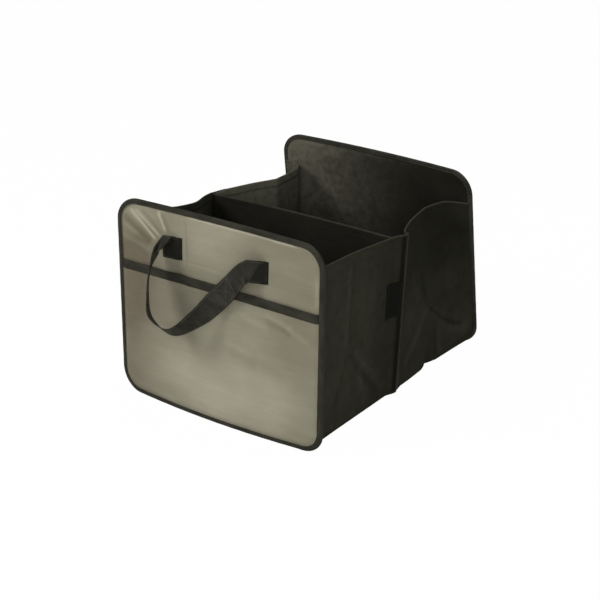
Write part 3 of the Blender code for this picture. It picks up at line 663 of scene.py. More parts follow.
def rim(x, z):
    """1 in the thin rim under the tape, 0 over the board."""
    return 1.0 - smooth((edge_distance(x, z) - LIP_CLEAR) / (RIM_WIDTH - LIP_CLEAR))


# %% Grid of a panel
ROUND_ROWS, HIDDEN_STEP = 18, 0.006
RIM_STEPS = np.array([0.0, 0.0017, 0.0034, 0.0045, 0.0058, 0.0070, 0.0083, 0.0100, 0.0120])


def panel_grid(inset, top=None, step=0.0026, marks=(), hidden=PANEL_CORNER):
    """x and z of a grid that fills the rounded outline: each row is stretched to the outline's width.

    Rows up to the height hidden lie behind the pocket, so they are HIDDEN_STEP apart. Rows are added at the
    marks and columns at the slits' sides, and the columns are closer near the rim.
    """
    radius = PANEL_CORNER - inset
    turn = np.linspace(0.0, np.pi / 2, ROUND_ROWS)
    low = inset + radius * (1.0 - np.cos(turn))
    low_width = HALF - PANEL_CORNER + radius * np.sin(turn)
    end = PANEL_HEIGHT - PANEL_CORNER if top is None else top
    fine = np.linspace(hidden, end, int((end - hidden) / step))
    rows = np.concatenate([np.arange(PANEL_CORNER, hidden - HIDDEN_STEP / 2, HIDDEN_STEP), fine])[1:]
    rows = np.unique(np.concatenate([rows, [m for m in marks if PANEL_CORNER < m < end]]))
    if top is None:
        heights = np.concatenate([low, rows[:-1], PANEL_HEIGHT - low[::-1]])
        widths = np.concatenate([low_width, np.full(len(rows) - 1, HALF - inset), low_width[::-1]])
    else:
        heights = np.concatenate([low, rows])
        widths = np.concatenate([low_width, np.full(len(rows), HALF - inset)])
    side = HALF - inset - RIM_STEPS
    inner = np.linspace(-side[-1], side[-1], int(2 * side[-1] / step))
    slit_sides = [sign * slit + edge for slit in SLITS for sign in (-1, 1)
                  for edge in (-SLIT_WIDTH / 2, SLIT_WIDTH / 2)]
    across = np.unique(np.round(np.concatenate([-side, inner, side[::-1], slit_sides]), 5)) / (HALF - inset)
    return widths[:, None] * across, heights[:, None] * np.ones(len(across))


# %% [markdown]
# ### Covers
# The cover is pulled tight over its board, but the strap pulls at it: sharp creases run from the strap's
# left slit to the panel's top corner and its top edge. A crease is a low ridge that falls off on both
# sides of a line. Light along a crease hides it, so the same lines are painted in the coat's tone as well:
# painted highlights on the creases with painted shade beside them. Both slits are real holes: their faces
# are left out of the grid.

# %% Creases, and painted highlights, sheen and shade of the coat
COVER_CREASES = (
    ((-0.166, 0.306), (-0.113, 0.262), 0.001, 0.0032), ((-0.1575, 0.307), (-0.105, 0.269), 0.0008, 0.003),
    ((-0.1115, 0.311), (-0.096, 0.279), 0.0008, 0.003), ((-0.06, 0.308), (-0.057, 0.235), -0.0006, 0.002),
    ((-0.18, 0.262), (-0.118, 0.248), 0.0012, 0.006), ((-0.17, 0.288), (-0.12, 0.256), -0.0012, 0.007),
    ((0.095, 0.305), (0.16, 0.29), 0.0008, 0.006))
# Lines of painted highlight (above 0) and painted shade (below 0): creases, pocket dimples, under the tape.
COAT_HIGHLIGHT_AND_SHADE_LINES = (
    ((-0.166, 0.306), (-0.113, 0.262), 1.00, 0.0019), ((-0.1575, 0.307), (-0.105, 0.269), 0.6, 0.0019),
    ((-0.1115, 0.311), (-0.096, 0.279), 0.8, 0.0018), ((-0.06, 0.311), (-0.057, 0.228), -0.16, 0.0016),
    ((-0.18, 0.295), (-0.123, 0.254), -0.34, 0.007), ((-0.161, 0.306), (-0.108, 0.265), -0.16, 0.0026),
    ((-0.144, 0.308), (-0.102, 0.274), -0.24, 0.003), ((-0.105, 0.308), (-0.089, 0.278), -0.22, 0.004),
    ((-0.182, 0.26), (-0.12, 0.244), 0.16, 0.005), ((-0.18, 0.28), (-0.13, 0.256), 0.2, 0.003),
    ((0.086, 0.197), (0.142, 0.185), 0.18, 0.005), ((0.086, 0.19), (0.14, 0.176), -0.14, 0.006),
    ((0.125, 0.186), (0.17, 0.17), 0.2, 0.004), ((0.04, 0.186), (0.1, 0.174), 0.14, 0.006),
    ((0.01, 0.14), (0.072, 0.124), 0.1, 0.009), ((0.025, 0.128), (0.08, 0.114), -0.08, 0.009),
    ((0.1775, 0.28), (0.1778, 0.225), 0.22, 0.003), ((0.152, 0.3105), (0.01, 0.3112), 0.6, 0.0018),
    ((-0.06, 0.3112), (0.03, 0.3112), 0.5, 0.0016))
# Bells of painted sheen (above 0) and painted shade (below 0) in the coat's tone.
COAT_SHEEN_AND_SHADE_PATCHES = (
    ((-0.02, 0.29), (0.06, 0.045), 0.3), ((0.02, 0.055), (0.11, 0.06), 0.52),
    ((-0.165, 0.3), (0.035, 0.03), 0.34), ((-0.15, 0.235), (0.035, 0.03), -0.28),
    ((-0.15, 0.16), (0.05, 0.06), -0.3), ((0.13, 0.05), (0.06, 0.05), 0.16),
    ((0.155, 0.215), (0.03, 0.03), -0.08), ((-0.09, 0.06), (0.05, 0.04), 0.1))


def cover_relief(x, z):
    """How far the cover stands off its board above the pocket: its creases, and a long soft wave."""
    wave = 0.00030 * ripples(0.6 * x, 1.6 * z, 3, 0.11)
    above = smooth((z - POCKET_HEIGHT - 0.002) / 0.012)
    return (creased(x, z, COVER_CREASES) + np.abs(wave)) * above * (1.0 - rim(x, z))


def coat_sheen_and_shade(x, z):
    """Painted sheen and shade of the taupe coat, from 0, brown, to 1, pale: darker sides, bells and lines.
    """
    tone = 0.44 - 0.26 * smooth((-0.105 - x) / 0.07) - 0.08 * smooth((x - 0.10) / 0.06)
    for (x0, z0), (wide, tall), strength in COAT_SHEEN_AND_SHADE_PATCHES:
        tone = tone + strength * np.exp(-((x - x0) / wide) ** 2 - ((z - z0) / tall) ** 2)
    return tone + creased(x, z, COAT_HIGHLIGHT_AND_SHADE_LINES)


# %% Covers
def in_slits(inward):
    """Test for points that lie in one of the cover's two slits."""
    def test(points):
        beside = [np.abs(inward * points[:, 0] - slit) < SLIT_WIDTH / 2 for slit in SLITS]
        return np.any(beside, axis=0) & (np.abs(points[:, 2] - SLIT_Z) < SLIT_HEIGHT / 2)
    return test


for end, (_, inward) in PANELS.items():
    x, z = panel_grid(RIM_INSET, step=0.0015, hidden=POCKET_HEIGHT - BAND_HEIGHT,
                      marks=(SLIT_Z - SLIT_HEIGHT / 2, SLIT_Z + SLIT_HEIGHT / 2))
    depth = COVER_DEPTH + COVER_DIP * rim(x, z) - cover_relief(inward * x, z)
    cover = cloth(f"{end}_cover_cloth", on_panel(end, x, z, depth), COVER_THICK, "taupe",
                  replaces=f"{end}_cover", holes=in_slits(inward), paint={"tone": coat_sheen_and_shade(inward * x, z)})


# %% [markdown]
# ### Pockets and their bands
# A flat pocket covers the lower two thirds of the panel. Its mouth is bound with a tape that is folded
# over the top, stands off the cover a little, and lifts in a small bulge left of the middle. The cloth
# sags in shallow dimples, which the satin coat makes visible, with painted highlights and painted shade
# along them in the coat's tone.

# %% Pockets
BULGE_X, BULGE, BULGE_LIFT = -0.066, 0.0016, 0.0020
DIMPLES = (
    ((0.088, 0.196), (0.15, 0.182), 0.0011, 0.005), ((0.118, 0.192), (0.172, 0.168), 0.0009, 0.006),
    ((0.04, 0.186), (0.1, 0.172), 0.0008, 0.006), ((0.01, 0.14), (0.072, 0.122), 0.0008, 0.009),
    ((-0.17, 0.12), (-0.09, 0.06), 0.0003, 0.014))


def mouth_slack(x, z):
    """How far the pocket stands off the cover: a slack mouth with one small bulge."""
    rise = smooth((z - POCKET_HEIGHT + 2.2 * BAND_HEIGHT) / (1.2 * BAND_HEIGHT))
    bulge = BULGE * np.exp(-((x - BULGE_X) / 0.020) ** 2) * rise
    return (POCKET_SLACK * rise + bulge) * (1.0 - rim(x, z))


def pocket_relief(x, z):
    """Shallow dimples and soft waves of the pocket's cloth, as heights above the flat pocket."""
    wave = 0.00045 * np.abs(ripples(0.8 * x, 1.5 * z, 8, 0.12))
    below_band = smooth((POCKET_HEIGHT - BAND_HEIGHT - z) / 0.02)
    return (creased(x, z, DIMPLES) + wave) * (1.0 - rim(x, z)) * below_band


def lift_of_mouth(x, z):
    """The bulge also lifts the pocket's top edge."""
    near_top = smooth((z - POCKET_HEIGHT + 0.030) / 0.030)
    return BULGE_LIFT * np.exp(-((x - BULGE_X) / 0.014) ** 2) * near_top


for end, (_, inward) in PANELS.items():
    x, z = panel_grid(RIM_INSET, top=POCKET_HEIGHT, step=0.0022)
    hand = inward * x
    depth = POCKET_DEPTH + COVER_DIP * rim(x, z) - mouth_slack(hand, z) - pocket_relief(hand, z)
    points = on_panel(end, x, z + lift_of_mouth(hand, z), depth)
    pocket = cloth(f"{end}_pocket_cloth", points, POCKET_THICK, "taupe",
                   replaces=f"{end}_pocket", paint={"tone": coat_sheen_and_shade(hand, z)})

# %% Bands on the pockets' mouths
BAND_ENDS = HALF - LIP_CLEAR
BAND_CLEAR = POCKET_THICK / 2 + GAP + BAND_THICK / 2
PUCKER, BAND_PUCKER_PITCH = 0.00012, 0.0042

turn = np.linspace(0.0, np.pi, 9)
leg = np.linspace(-BAND_HEIGHT, 0.0, 12)[:-1]
rise = np.concatenate([leg, 0.5 * BAND_CLEAR * np.sin(turn) + GAP, [-0.0004]])[:, None]
side = np.concatenate([0.0 * leg - BAND_CLEAR, -BAND_CLEAR * np.cos(turn), [BAND_CLEAR]])[:, None]
x = np.linspace(-BAND_ENDS, BAND_ENDS, 190) + 0.0 * side
z = np.minimum(POCKET_HEIGHT + rise, POCKET_HEIGHT) + 0.0 * x
waves = np.sin(x * 2 * np.pi / BAND_PUCKER_PITCH + 7.0 * ripples(x, z, 5, 0.05))
puckered = side - PUCKER * waves * (side < 0.0)
for end, (_, inward) in PANELS.items():
    depth = POCKET_DEPTH + COVER_DIP * rim(x, z) - mouth_slack(inward * x, z) + puckered
    points = on_panel(end, x, POCKET_HEIGHT + rise + lift_of_mouth(inward * x, z), depth)
    cloth(f"{end}_pocket_binding", points, BAND_THICK, "tape", replaces=f"{end}_pocket_band")


# %% [markdown]
# ### Linings
# The inside of each panel is dark cloth. On the rear panel it is the largest dark surface in view, and a
# grey painted light fades on it from the top left to the right. It is painted on the mesh as a share.

# %% Linings
def lining_painted_light(x, z):
    """Grey painted light: strongest at the left, none past the right third, and a little more along the top.
    """
    across = np.clip((0.125 - x) / 0.27, 0.0, 1.0) ** 2.1
    upper = 0.72 + 0.28 * smooth((z - 0.13) / 0.12)
    return 0.94 * across * upper + 0.20 * smooth((z - 0.285) / 0.02) * across


x, z = panel_grid(RIM_INSET, step=0.0042)
slack = 0.00025 * (1.0 + ripples(x, z, 21, 0.09)) * (1.0 - rim(x, z))
for end in PANELS:
    points = on_panel(end, x, z, LINING_DEPTH - LINING_DIP * rim(x, z) + slack)
    lining = cloth(f"{end}_lining_cloth", points, LINING_THICK, "inner",
                   replaces=f"{end}_lining", paint={"painted_light": lining_painted_light(x, z)})


# %% [markdown]
# ### Edge tape
# A tape is folded over the panel's rim all the way round. Its section is a lip in front, a round back and
# a lip behind, carried along the panel's outline. Each station of the outline has a place and a direction
# inwards. The seam through both lips shows as a row of stitches on the outside and one on the inside.

# %% Outline of the panel
def outline(step=0.004):
    """Places on the rounded outline and directions inwards, once round, with the first place repeated."""
    turn = np.linspace(0.0, np.pi / 2, 17)
    corner_x = HALF - PANEL_CORNER
    corner_z = PANEL_HEIGHT / 2 - PANEL_CORNER
    places, inwards = [], []
    for quarter, (sx, sz) in enumerate(((1, -1), (1, 1), (-1, 1), (-1, -1))):
        angle = turn + np.pi / 2 * (quarter - 1)
        inward = -np.stack([np.cos(angle), np.sin(angle)], axis=1)
        middle = np.array([sx * corner_x, PANEL_HEIGHT / 2 + sz * corner_z])
        arc = middle - PANEL_CORNER * inward
        run = 2 * corner_z if quarter in (0, 2) else 2 * corner_x
        along = np.array([-inward[-1][1], inward[-1][0]]) * -1.0
        t = np.arange(step, run - step / 2, step)[:, None]
        places += [arc, arc[-1] + t * along]
        inwards += [inward, np.repeat(inward[-1:], len(t), axis=0)]
    places, inwards = np.vstack(places), np.vstack(inwards)
    return np.vstack([places, places[:1]]), np.vstack([inwards, inwards[:1]])


outline_places, outline_inwards = outline()
outline_length = np.linalg.norm(np.diff(outline_places, axis=0), axis=1).sum()
print(f"edge tape is {outline_length:.3f} m long")

# %% Edge tapes
TAPE_SEAM, TAPE_STITCH, TAPE_PUCKER, TAPE_PUCKER_PITCH = 0.0058, 0.0042, 0.00010, 0.0046


def tape_section(points=6):
    """Distance from the outline and depth of the tape's section, from its front lip to its rear one."""
    mid = TAPE_THICK / 2
    lip = np.linspace(TAPE_WIDTH, TAPE_ROUND + mid, points)
    turn = np.linspace(0.0, np.pi / 2, points)[1:]
    corner_inset = mid + TAPE_ROUND * (1.0 - np.sin(turn))
    corner_depth = TAPE_ROUND * (1.0 - np.cos(turn))
    inset = np.concatenate([lip, corner_inset, corner_inset[::-1], lip[::-1]])
    depth = np.concatenate([0.0 * lip + TAPE_FRONT, TAPE_FRONT + corner_depth,
                            TAPE_REAR - corner_depth[::-1], 0.0 * lip + TAPE_REAR])
    return inset[:, None], depth[:, None]


tape_inset, tape_depth = tape_section()
spot = outline_places + tape_inset[..., None] * outline_inwards
seam = outline_places + TAPE_SEAM * outline_inwards
travel = np.linspace(0.0, outline_length, len(outline_places))
outwards = np.sign(tape_depth - tape_depth.mean())
pucker = TAPE_PUCKER * np.sin(travel * 2 * np.pi / TAPE_PUCKER_PITCH) * outwards
for end, (_, inward) in PANELS.items():
    points = on_panel(end, spot[..., 0], spot[..., 1], tape_depth + pucker)
    cloth(f"{end}_edge_binding", points, TAPE_THICK, "tape", replaces=f"{end}_edge_tape", ring=True)
    for side, depth, way, thread in (("outer", TAPE_FRONT - TAPE_THICK / 2, -1.0, "tape_thread"),
                                     ("inner", TAPE_REAR + TAPE_THICK / 2, 1.0, "grey_thread")):
        off = np.array([0.0, way * inward, 0.0]) * np.ones((len(seam), 1))
        path = on_panel(end, seam[:, 0], seam[:, 1], depth)
        row = stitch_row(path, off, pitch=TAPE_STITCH, wide=0.0007, tall=0.0006)
        sew(f"{end}_{side}_stitches", [row], finish=thread)


# %% [markdown]
# ### Strap handles
# The strap comes out of one slit, falls in a loop that turns on itself, and goes back into the other slit.
# It is a ribbon between two edge lines. In the loop, each row has a place and a direction across, made
# square to the strap's run. At both slits the strap is folded over a slanting crease, so there the rows
# give the two edges themselves: the upper one stays near the slit's top while the lower one runs on.

# %% Rows of the strap
STRAP_WIDTH, STRAP_TAIL, SLIT_SPAN = 0.034, 0.020, 0.003
STRAP_WAY = np.array([
    (0.056, 0.018, 0.254, -0.60, 0.35, 0.70),
    (0.035, 0.014, 0.230, -0.70, 0.15, 0.70),
    (0.012, 0.014, 0.204, -0.60, -0.20, 0.77),
    (-0.015, 0.030, 0.172, -0.20, -0.60, 0.78),
    (-0.047, 0.052, 0.151, 0.25, -0.73, 0.63),
    (-0.078, 0.057, 0.167, 0.48, -0.80, 0.36),
    (-0.091, 0.049, 0.201, 0.54, -0.76, 0.36),
    (-0.097, 0.034, 0.239, 0.52, -0.75, 0.42),
    (-0.097, 0.022, 0.257, 0.35, -0.60, 0.70),
])
RIGHT_FOLD = np.array([
    (0.0845, 0.0040, 0.2772, 0.0680, 0.0140, 0.2450),
    (0.0640, 0.0165, 0.2782, 0.0672, 0.0160, 0.2440),
])
LEFT_FOLD = np.array([
    (-0.0925, 0.0120, 0.2795, -0.0870, 0.0330, 0.2590),
    (-0.0790, 0.0065, 0.2792, -0.0842, 0.0220, 0.2640),
    (-0.0750, 0.0040, 0.2776, -0.0935, 0.0100, 0.2450),
])


def edges_of(rows):
    """Upper and lower edge: the place plus and less half the width along the direction across."""
    place, across = rows[:, :3], rows[:, 3:] * np.array([1.0, -1.0, 1.0])
    along = unit(np.gradient(place, axis=0))
    across = across - np.sum(across * along, axis=1)[:, None] * along
    across = STRAP_WIDTH / 2 * unit(across)
    return np.hstack([place + across, place - across])


def upright_row(x, out):
    """A row that stands upright at the height of the slits."""
    return np.array([x, out, SLIT_Z + STRAP_WIDTH / 2, x, out, SLIT_Z - STRAP_WIDTH / 2])


# %% Ribbon
def strap_rows(count=200, step=0.0012):
    """All rows from the tail behind one slit to the tail behind the other, filled in to an even step."""
    stand = STRAP_THICK / 2 + 4 * GAP
    behind = -(COVER_THICK + GAP + STRAP_THICK / 2)
    ends = [np.stack([upright_row(slit + SLIT_SPAN + STRAP_TAIL, behind),
                      upright_row(slit + SLIT_SPAN, behind), upright_row(slit - SLIT_SPAN, stand)])
            for slit in SLITS]
    free = route(np.vstack([RIGHT_FOLD[-1:], edges_of(STRAP_WAY), LEFT_FOLD[:1]]), count)
    rows = np.vstack([ends[0], RIGHT_FOLD[:-1], free, LEFT_FOLD[1:], ends[1][::-1]])
    travel = travelled((rows[:, :3] + rows[:, 3:]) / 2)
    stops = np.union1d(travel, np.arange(0.0, travel[-1], step))
    return stops, sampled(rows, travel, stops)


STRAP_TRAVEL, STRAP_ROWS = strap_rows()
widths = np.linalg.norm(STRAP_ROWS[:, :3] - STRAP_ROWS[:, 3:], axis=1)
print(f"strap is {STRAP_TRAVEL[-1]:.3f} m long and {widths.min():.4f} to {widths.max():.4f} m wide")


def strap_places(end, travel, across):
    """Points on the strap's middle layer at a travel and a share across, -0.5 being its lower edge."""
    rows = sampled(STRAP_ROWS, STRAP_TRAVEL, travel)
    local = rows[..., :3] * (0.5 + across)[..., None] + rows[..., 3:] * (0.5 - across)[..., None]
    return on_panel(end, PANELS[end][1] * local[..., 0], local[..., 2], -local[..., 1])


def travel_of(row):
    """Travel of the strap's row that lies nearest to a given row."""
    return STRAP_TRAVEL[np.argmin(np.abs(STRAP_ROWS - row).sum(axis=1))]


def strap_painted_shade(travel):
    """Painted shade: 1 from each slit to its crease, and below 0 a painted highlight on the left bend."""
    first, last = travel_of(RIGHT_FOLD[0]), travel_of(LEFT_FOLD[1])
    painted_highlight = 0.7 * np.exp(-((travel - last + 0.036) / 0.022) ** 2)
    return 1.0 - smooth((travel - first) / 0.001) * smooth((last - travel) / 0.001) - painted_highlight


travel, across = np.meshgrid(STRAP_TRAVEL, np.linspace(-0.5, 0.5, 13), indexing="ij")
for end in PANELS:
    cloth(f"{end}_strap", strap_places(end, travel, across), STRAP_THICK, "strap",
          replaces=f"{end}_handle", even=False, paint={"shade": strap_painted_shade(travel)})

# %% [markdown]
# ### Strap stitches
# A row of stitches runs along both edges of the strap, and a square with two diagonals holds the overlap
# where the webbing's ends are joined. Each row lies on both faces. The direction off the strap is the
# cross product of its run and its direction across.

# %% Strap stitches
SEAM_SPAN, SEAM_ACROSS = (0.030, STRAP_TRAVEL[-1] - 0.030), 0.43
BOX_CORNERS = np.array([(0.094, -0.38), (0.124, -0.38), (0.124, 0.38), (0.094, 0.38)])
BOX_LINES = ((0, 1), (1, 2), (2, 3), (3, 0), (0, 2), (1, 3))


def strap_seam(end, travel, across, face):
    """Stitches along a path on the strap, on one of its two faces."""
    step = 0.0006
    middle = strap_places(end, travel, across)
    run = strap_places(end, travel + step, across) - strap_places(end, travel - step, across)
    side = strap_places(end, travel, across + 0.02) - strap_places(end, travel, across - 0.02)
    off = face * unit(np.cross(run, side))
    return stitch_row(middle + STRAP_THICK / 2 * off, off, pitch=0.0034, length=0.0025, wide=0.0006)


for end in PANELS:
    rows = []
    for face in (1.0, -1.0):
        for across in (-SEAM_ACROSS, SEAM_ACROSS):
            rows.append(strap_seam(end, np.linspace(*SEAM_SPAN, 400), np.full(400, across), face))
        for first, last in BOX_LINES:
            line = np.linspace(BOX_CORNERS[first], BOX_CORNERS[last], 30)
            rows.append(strap_seam(end, line[:, 0], line[:, 1], face))
    sew(f"{end}_strap_stitches", rows, finish="grey_thread")


# %% [markdown]
# ## The bays
# Each bay is one long strip of black cloth, laid as a U: wall, floor, wall. Its sides are folded like
# those of a paper bag, so that the organizer can collapse, and each wall shows the fold as an upside-down
# Y. The front strip ends in a fin that laps over the rear strip. The rear strip tucks inwards above its
# fold and hooks back out to the leaning panel. A strip is made as two half grids, because its two sides
# are folded a little differently. Each strip gets painted light and painted shade along the same lines as
# its folds: a painted highlight on each ridge and painted shade in each groove.

# %% Bay sizes
DIVIDER_Y, DIVIDER_HALF, BAY_DEPTH, WALL_INSET = 0.2085, 0.00125, TAPE_REAR, 0.005
FOOT_HALF, FIN_FOOT_HALF, FOOT_RADIUS = 0.1665, 0.173, 0.004
SEAM_TOP_HALF, FIN_LENGTH, LAP = 0.172, 0.0225, 0.020
FRONT_WALL_TOP, SEAM_TOP, REAR_WALL_TOP, CORNER_RUN = 0.290, 0.270, 0.268, 0.090
CREASE_HEIGHT, FRONT_CREASE, REAR_TUCK = 0.40, 0.45, 0.010
FIN_TOP_HALF = {1: 0.1835, -1: 0.1675}
FRONT_TUCK = {1: 0.0045, -1: 0.024}
SEAM_Y = DIVIDER_Y + DIVIDER_HALF + 3 * GAP + 2 * BAY_THICK
FIN_Y = SEAM_Y + FIN_LENGTH
GUSSET_END = DIVIDER_Y - DIVIDER_HALF - BAY_THICK - 4 * GAP
PANEL_END = PANEL_SPACING - BAY_DEPTH
LAP_STEP = BAY_THICK + GAP
FIRST_FREE = 6  # the rear strip's first station behind the front strip's fin
FLOOR_Z = BAY_THICK / 2

WALL_PARTS = np.linspace(0.0, 1.0, 76)[1:]
FLOOR_PARTS = np.linspace(0.0, 1.0, 24)
ARC_ANGLES = np.radians(np.linspace(0.0, 90.0, 9)[1:])
WALLS = slice(len(FLOOR_PARTS) + len(ARC_ANGLES), None)


# %% Shape of a strip
def tent(height, place, peak):
    """Depth of the gusset's fold: rises evenly from the foot and both ends to 1 at the centre of the Y."""
    ends = np.minimum(place / peak, (1.0 - place) / (1.0 - peak))
    return np.clip(np.minimum(height / CREASE_HEIGHT, ends), 0.0, 1.0)


def section(foot, radius, lift, wall_half, wall_top):
    """Half a U for each station: level floor, quarter circle at the foot, and wall."""
    floor_x = (foot - radius) * FLOOR_PARTS
    arc_x = foot - radius + radius * np.sin(ARC_ANGLES)
    arc_z = lift + radius * (1.0 - np.cos(ARC_ANGLES))
    wall_z = lift + radius + (wall_top - lift - radius) * WALL_PARTS
    return np.hstack([floor_x, arc_x, wall_half]), np.hstack([lift + 0.0 * floor_x, arc_z, wall_z])


def foot_radius(corner):
    """Small along the base board, as large as the panel's corner at the panel."""
    return FOOT_RADIUS + (PANEL_CORNER - WALL_INSET - FOOT_RADIUS) * corner


def corner_share(distance):
    """1 at the panel, falling to 0 as the square of the distance left to CORNER_RUN."""
    return np.clip(1.0 - distance / CORNER_RUN, 0.0, 1.0) ** 2


def front_foot_half(y):
    """Half width at the foot: it widens to the panel at one end and to the fin at the other."""
    flare = (FIN_FOOT_HALF - FOOT_HALF) * smooth((y - SEAM_Y) / FIN_LENGTH)
    return FOOT_HALF + (HALF - WALL_INSET - FOOT_HALF) * corner_share(y) + flare


def whole_strip(left, right):
    """Both halves joined at the middle of the floor, in the row frame."""
    points = np.concatenate([left[:, :0:-1], right], axis=1)
    points[..., 1] += FRONT_Y
    return points


def fold_lines(y, height, lines):
    """Sharp folds on a wall: each is a ridge or groove between two places (y, share of the height)."""
    y, up_wall = np.broadcast_arrays(y, height * SEAM_TOP)
    lines = [((y0, h0 * SEAM_TOP), (y1, h1 * SEAM_TOP), strength, 1.3 * width)
             for (y0, h0), (y1, h1), strength, width in lines]
    return creased(y, up_wall, lines, fade=0.10)


def fold_highlight_and_shade(y, height, lines):
    """Painted highlight on each fold's ridge and painted shade in each groove, over a faint even grey."""
    ridges = fold_lines(y, height, [line for line in lines if line[2] > 0.0])
    grooves = -fold_lines(y, height, [line for line in lines if line[2] < 0.0])
    return 0.10 + 90.0 * ridges, 190.0 * grooves


def strip_paint(painted_light, shade):
    """Lay the paint of one wall on both sides of a strip and leave its floor plain."""
    floor = np.zeros((painted_light.shape[0], len(FLOOR_PARTS) + len(ARC_ANGLES)))
    halves = [np.hstack([floor, wall]) for wall in (painted_light, shade)]
    return [np.hstack([half[:, :0:-1], half]) for half in halves]


def wall_wrinkles(y, height, seed):
    """Soft waves of the wall, strongest half way up and gone at the foot."""
    strength = smooth(height / 0.15) * smooth((1.02 - height) / 0.12)
    return 0.00035 * ripples(1.3 * y, 0.9 * height * SEAM_TOP, seed, 0.09) * strength


# %% Front strip
FRONT_FOLDS = (
    ((0.100, 0.98), (0.101, 0.42), -0.0010, 0.0040), ((0.101, 0.42), (0.196, 0.03), -0.0014, 0.0045),
    ((0.101, 0.42), (0.062, 0.10), -0.0010, 0.0045), ((0.088, 0.95), (0.090, 0.45), 0.0008, 0.0060),
    ((0.112, 0.42), (0.205, 0.05), 0.0010, 0.0060), ((0.130, 0.30), (0.150, 0.03), 0.0010, 0.0060))


def front_stations():
    """y of the front strip's stations as a column, closer together in the fin."""
    return np.concatenate([np.linspace(BAY_DEPTH, SEAM_Y, 84), np.linspace(SEAM_Y, FIN_Y, 9)[1:]])[:, None]


def front_wall_half(y, height, side):
    """Half width of the front bay: straight from foot to top, less the gusset's fold and upper crease."""
    place = np.clip((y - BAY_DEPTH) / (GUSSET_END - BAY_DEPTH), 0.0, 1.0)
    foot = front_foot_half(y)
    top_half = np.interp(y, [0.0, SEAM_Y, FIN_Y], [HALF - WALL_INSET, SEAM_TOP_HALF, FIN_TOP_HALF[side]])
    fold = FRONT_TUCK[side] * tent(height, place, FRONT_CREASE)
    pinch = 0.0009 * np.exp(-np.abs(place - FRONT_CREASE) / 0.035) * smooth((height - CREASE_HEIGHT) / 0.1)
    near_divider = 0.011 * (side < 0) * np.exp(-((y - 0.137) / 0.036) ** 2) * smooth((height - 0.3) / 0.6)
    return foot + (top_half - foot) * height - fold + pinch - near_divider


def front_half(side):
    """The front strip flares from its foot to its top; near the panel it takes the panel's round corner."""
    y, height = front_stations(), WALL_PARTS[None]
    top = np.interp(y, [BAY_DEPTH, SEAM_Y], [FRONT_WALL_TOP, SEAM_TOP])
    free = smooth((y - BAY_DEPTH) / 0.03) * smooth((GUSSET_END - y) / 0.03)
    loose = wall_wrinkles(y, height, 31 if side > 0 else 32) + fold_lines(y, height, FRONT_FOLDS)
    wall = front_wall_half(y, height, side) + loose * free
    x, z = section(front_foot_half(y), foot_radius(corner_share(y)), FLOOR_Z, wall, top)
    share = (y - BAY_DEPTH) / (FIN_Y - BAY_DEPTH)
    start = front_face(x, z) - FRONT_Y + BAY_DEPTH
    return np.stack([side * x, start * (1.0 - share) + FIN_Y * share, z], axis=-1)


def front_painted_light_and_shade():
    """Painted highlights and shade of the folds, a seam's shadow line, a lit cut edge and shade near the
    seam.
    """
    y = front_stations()
    painted_light, shade = fold_highlight_and_shade(y, WALL_PARTS[None], FRONT_FOLDS)
    # Painted shadow line in front of the fin's edge; the fin's cut edge gets a painted highlight.
    line = np.exp(-((y - FIN_Y + 0.0065) / 0.0035) ** 2)
    highlighted_cut_edge = y > FIN_Y - 0.001
    painted_shade_gradient = 0.30 * smooth((y - 0.14) / 0.06) * ~highlighted_cut_edge
    return painted_light * (1.0 - line) + 0.4 * highlighted_cut_edge, shade + painted_shade_gradient + 0.6 * line


front_points = whole_strip(front_half(-1), front_half(1))
front_painted_light, front_shade = strip_paint(*front_painted_light_and_shade())
front_strip = cloth("front_bay_strip", front_points, BAY_THICK, "black",
                    replaces="front_bay_cloth", paint={"painted_light": front_painted_light, "shade": front_shade})

# %% [markdown]
# The rear strip needs two lines in plan. Its top edge was measured on the outline of the picture: the
# right one goes in by 45 mm and hooks back out to the panel. Its foot has a notch where the fold's upright
# crease ends, steep on its front side. A smooth curve through the measured points gives every station its
# place on the top edge.

# %% Lines of the rear strip in plan
TOP_LINE = {
    1: np.array([(0.1824, 0.2348), (0.172, 0.242), (0.165, 0.257), (0.154, 0.287), (0.145, 0.326),
                 (0.140, 0.356), (0.143, 0.382), (0.150, 0.402), (0.164, 0.410), (0.185, 0.4165)]),
    -1: np.array([(0.1664, 0.2348), (0.1608, 0.2533), (0.1487, 0.2919), (0.1372, 0.320), (0.1337, 0.3298),
                  (0.1343, 0.340), (0.1356, 0.3589), (0.139, 0.3839), (0.1436, 0.4051), (0.152, 0.416),
                  (0.166, 0.4245), (0.185, 0.4295)]),
}
FOOT_LINE = np.array([(0.2348, 0.1716), (0.2483, 0.1690), (0.2575, 0.1670), (0.2812, 0.1667),
                      (0.3276, 0.1643), (0.3384, 0.1613), (0.3525, 0.1558), (0.3617, 0.1592),
                      (0.3779, 0.1631), (0.4005, 0.1638)])
PLAIN_FOOT_LINE = FOOT_LINE[[0, 1, 2, 3, -1]]
NOTCH_Y = 0.3525


def top_place(side, place):
    """Half width and y of the top edge at a share of its length."""
    line = route(TOP_LINE[side], 400)
    return sampled(line, np.linspace(0.0, 1.0, len(line)), place[:, 0])


# %% Rear strip
REAR_FOLDS = (
    ((0.352, 0.40), (0.448, 0.10), -0.0024, 0.0032), ((0.352, 0.40), (0.262, 0.10), 0.0016, 0.0040),
    ((0.362, 0.36), (0.462, 0.02), 0.0014, 0.0080), ((0.372, 0.24), (0.376, 0.02), -0.0016, 0.0030),
    ((0.384, 0.20), (0.388, 0.02), 0.0016, 0.0060), ((0.352, 0.62), (0.352, 0.40), -0.0014, 0.0050),
    ((0.318, 0.66), (0.330, 0.44), 0.0012, 0.0070))
REAR_PEAK = (NOTCH_Y - FIN_Y) / (PANEL_END - FIN_Y)


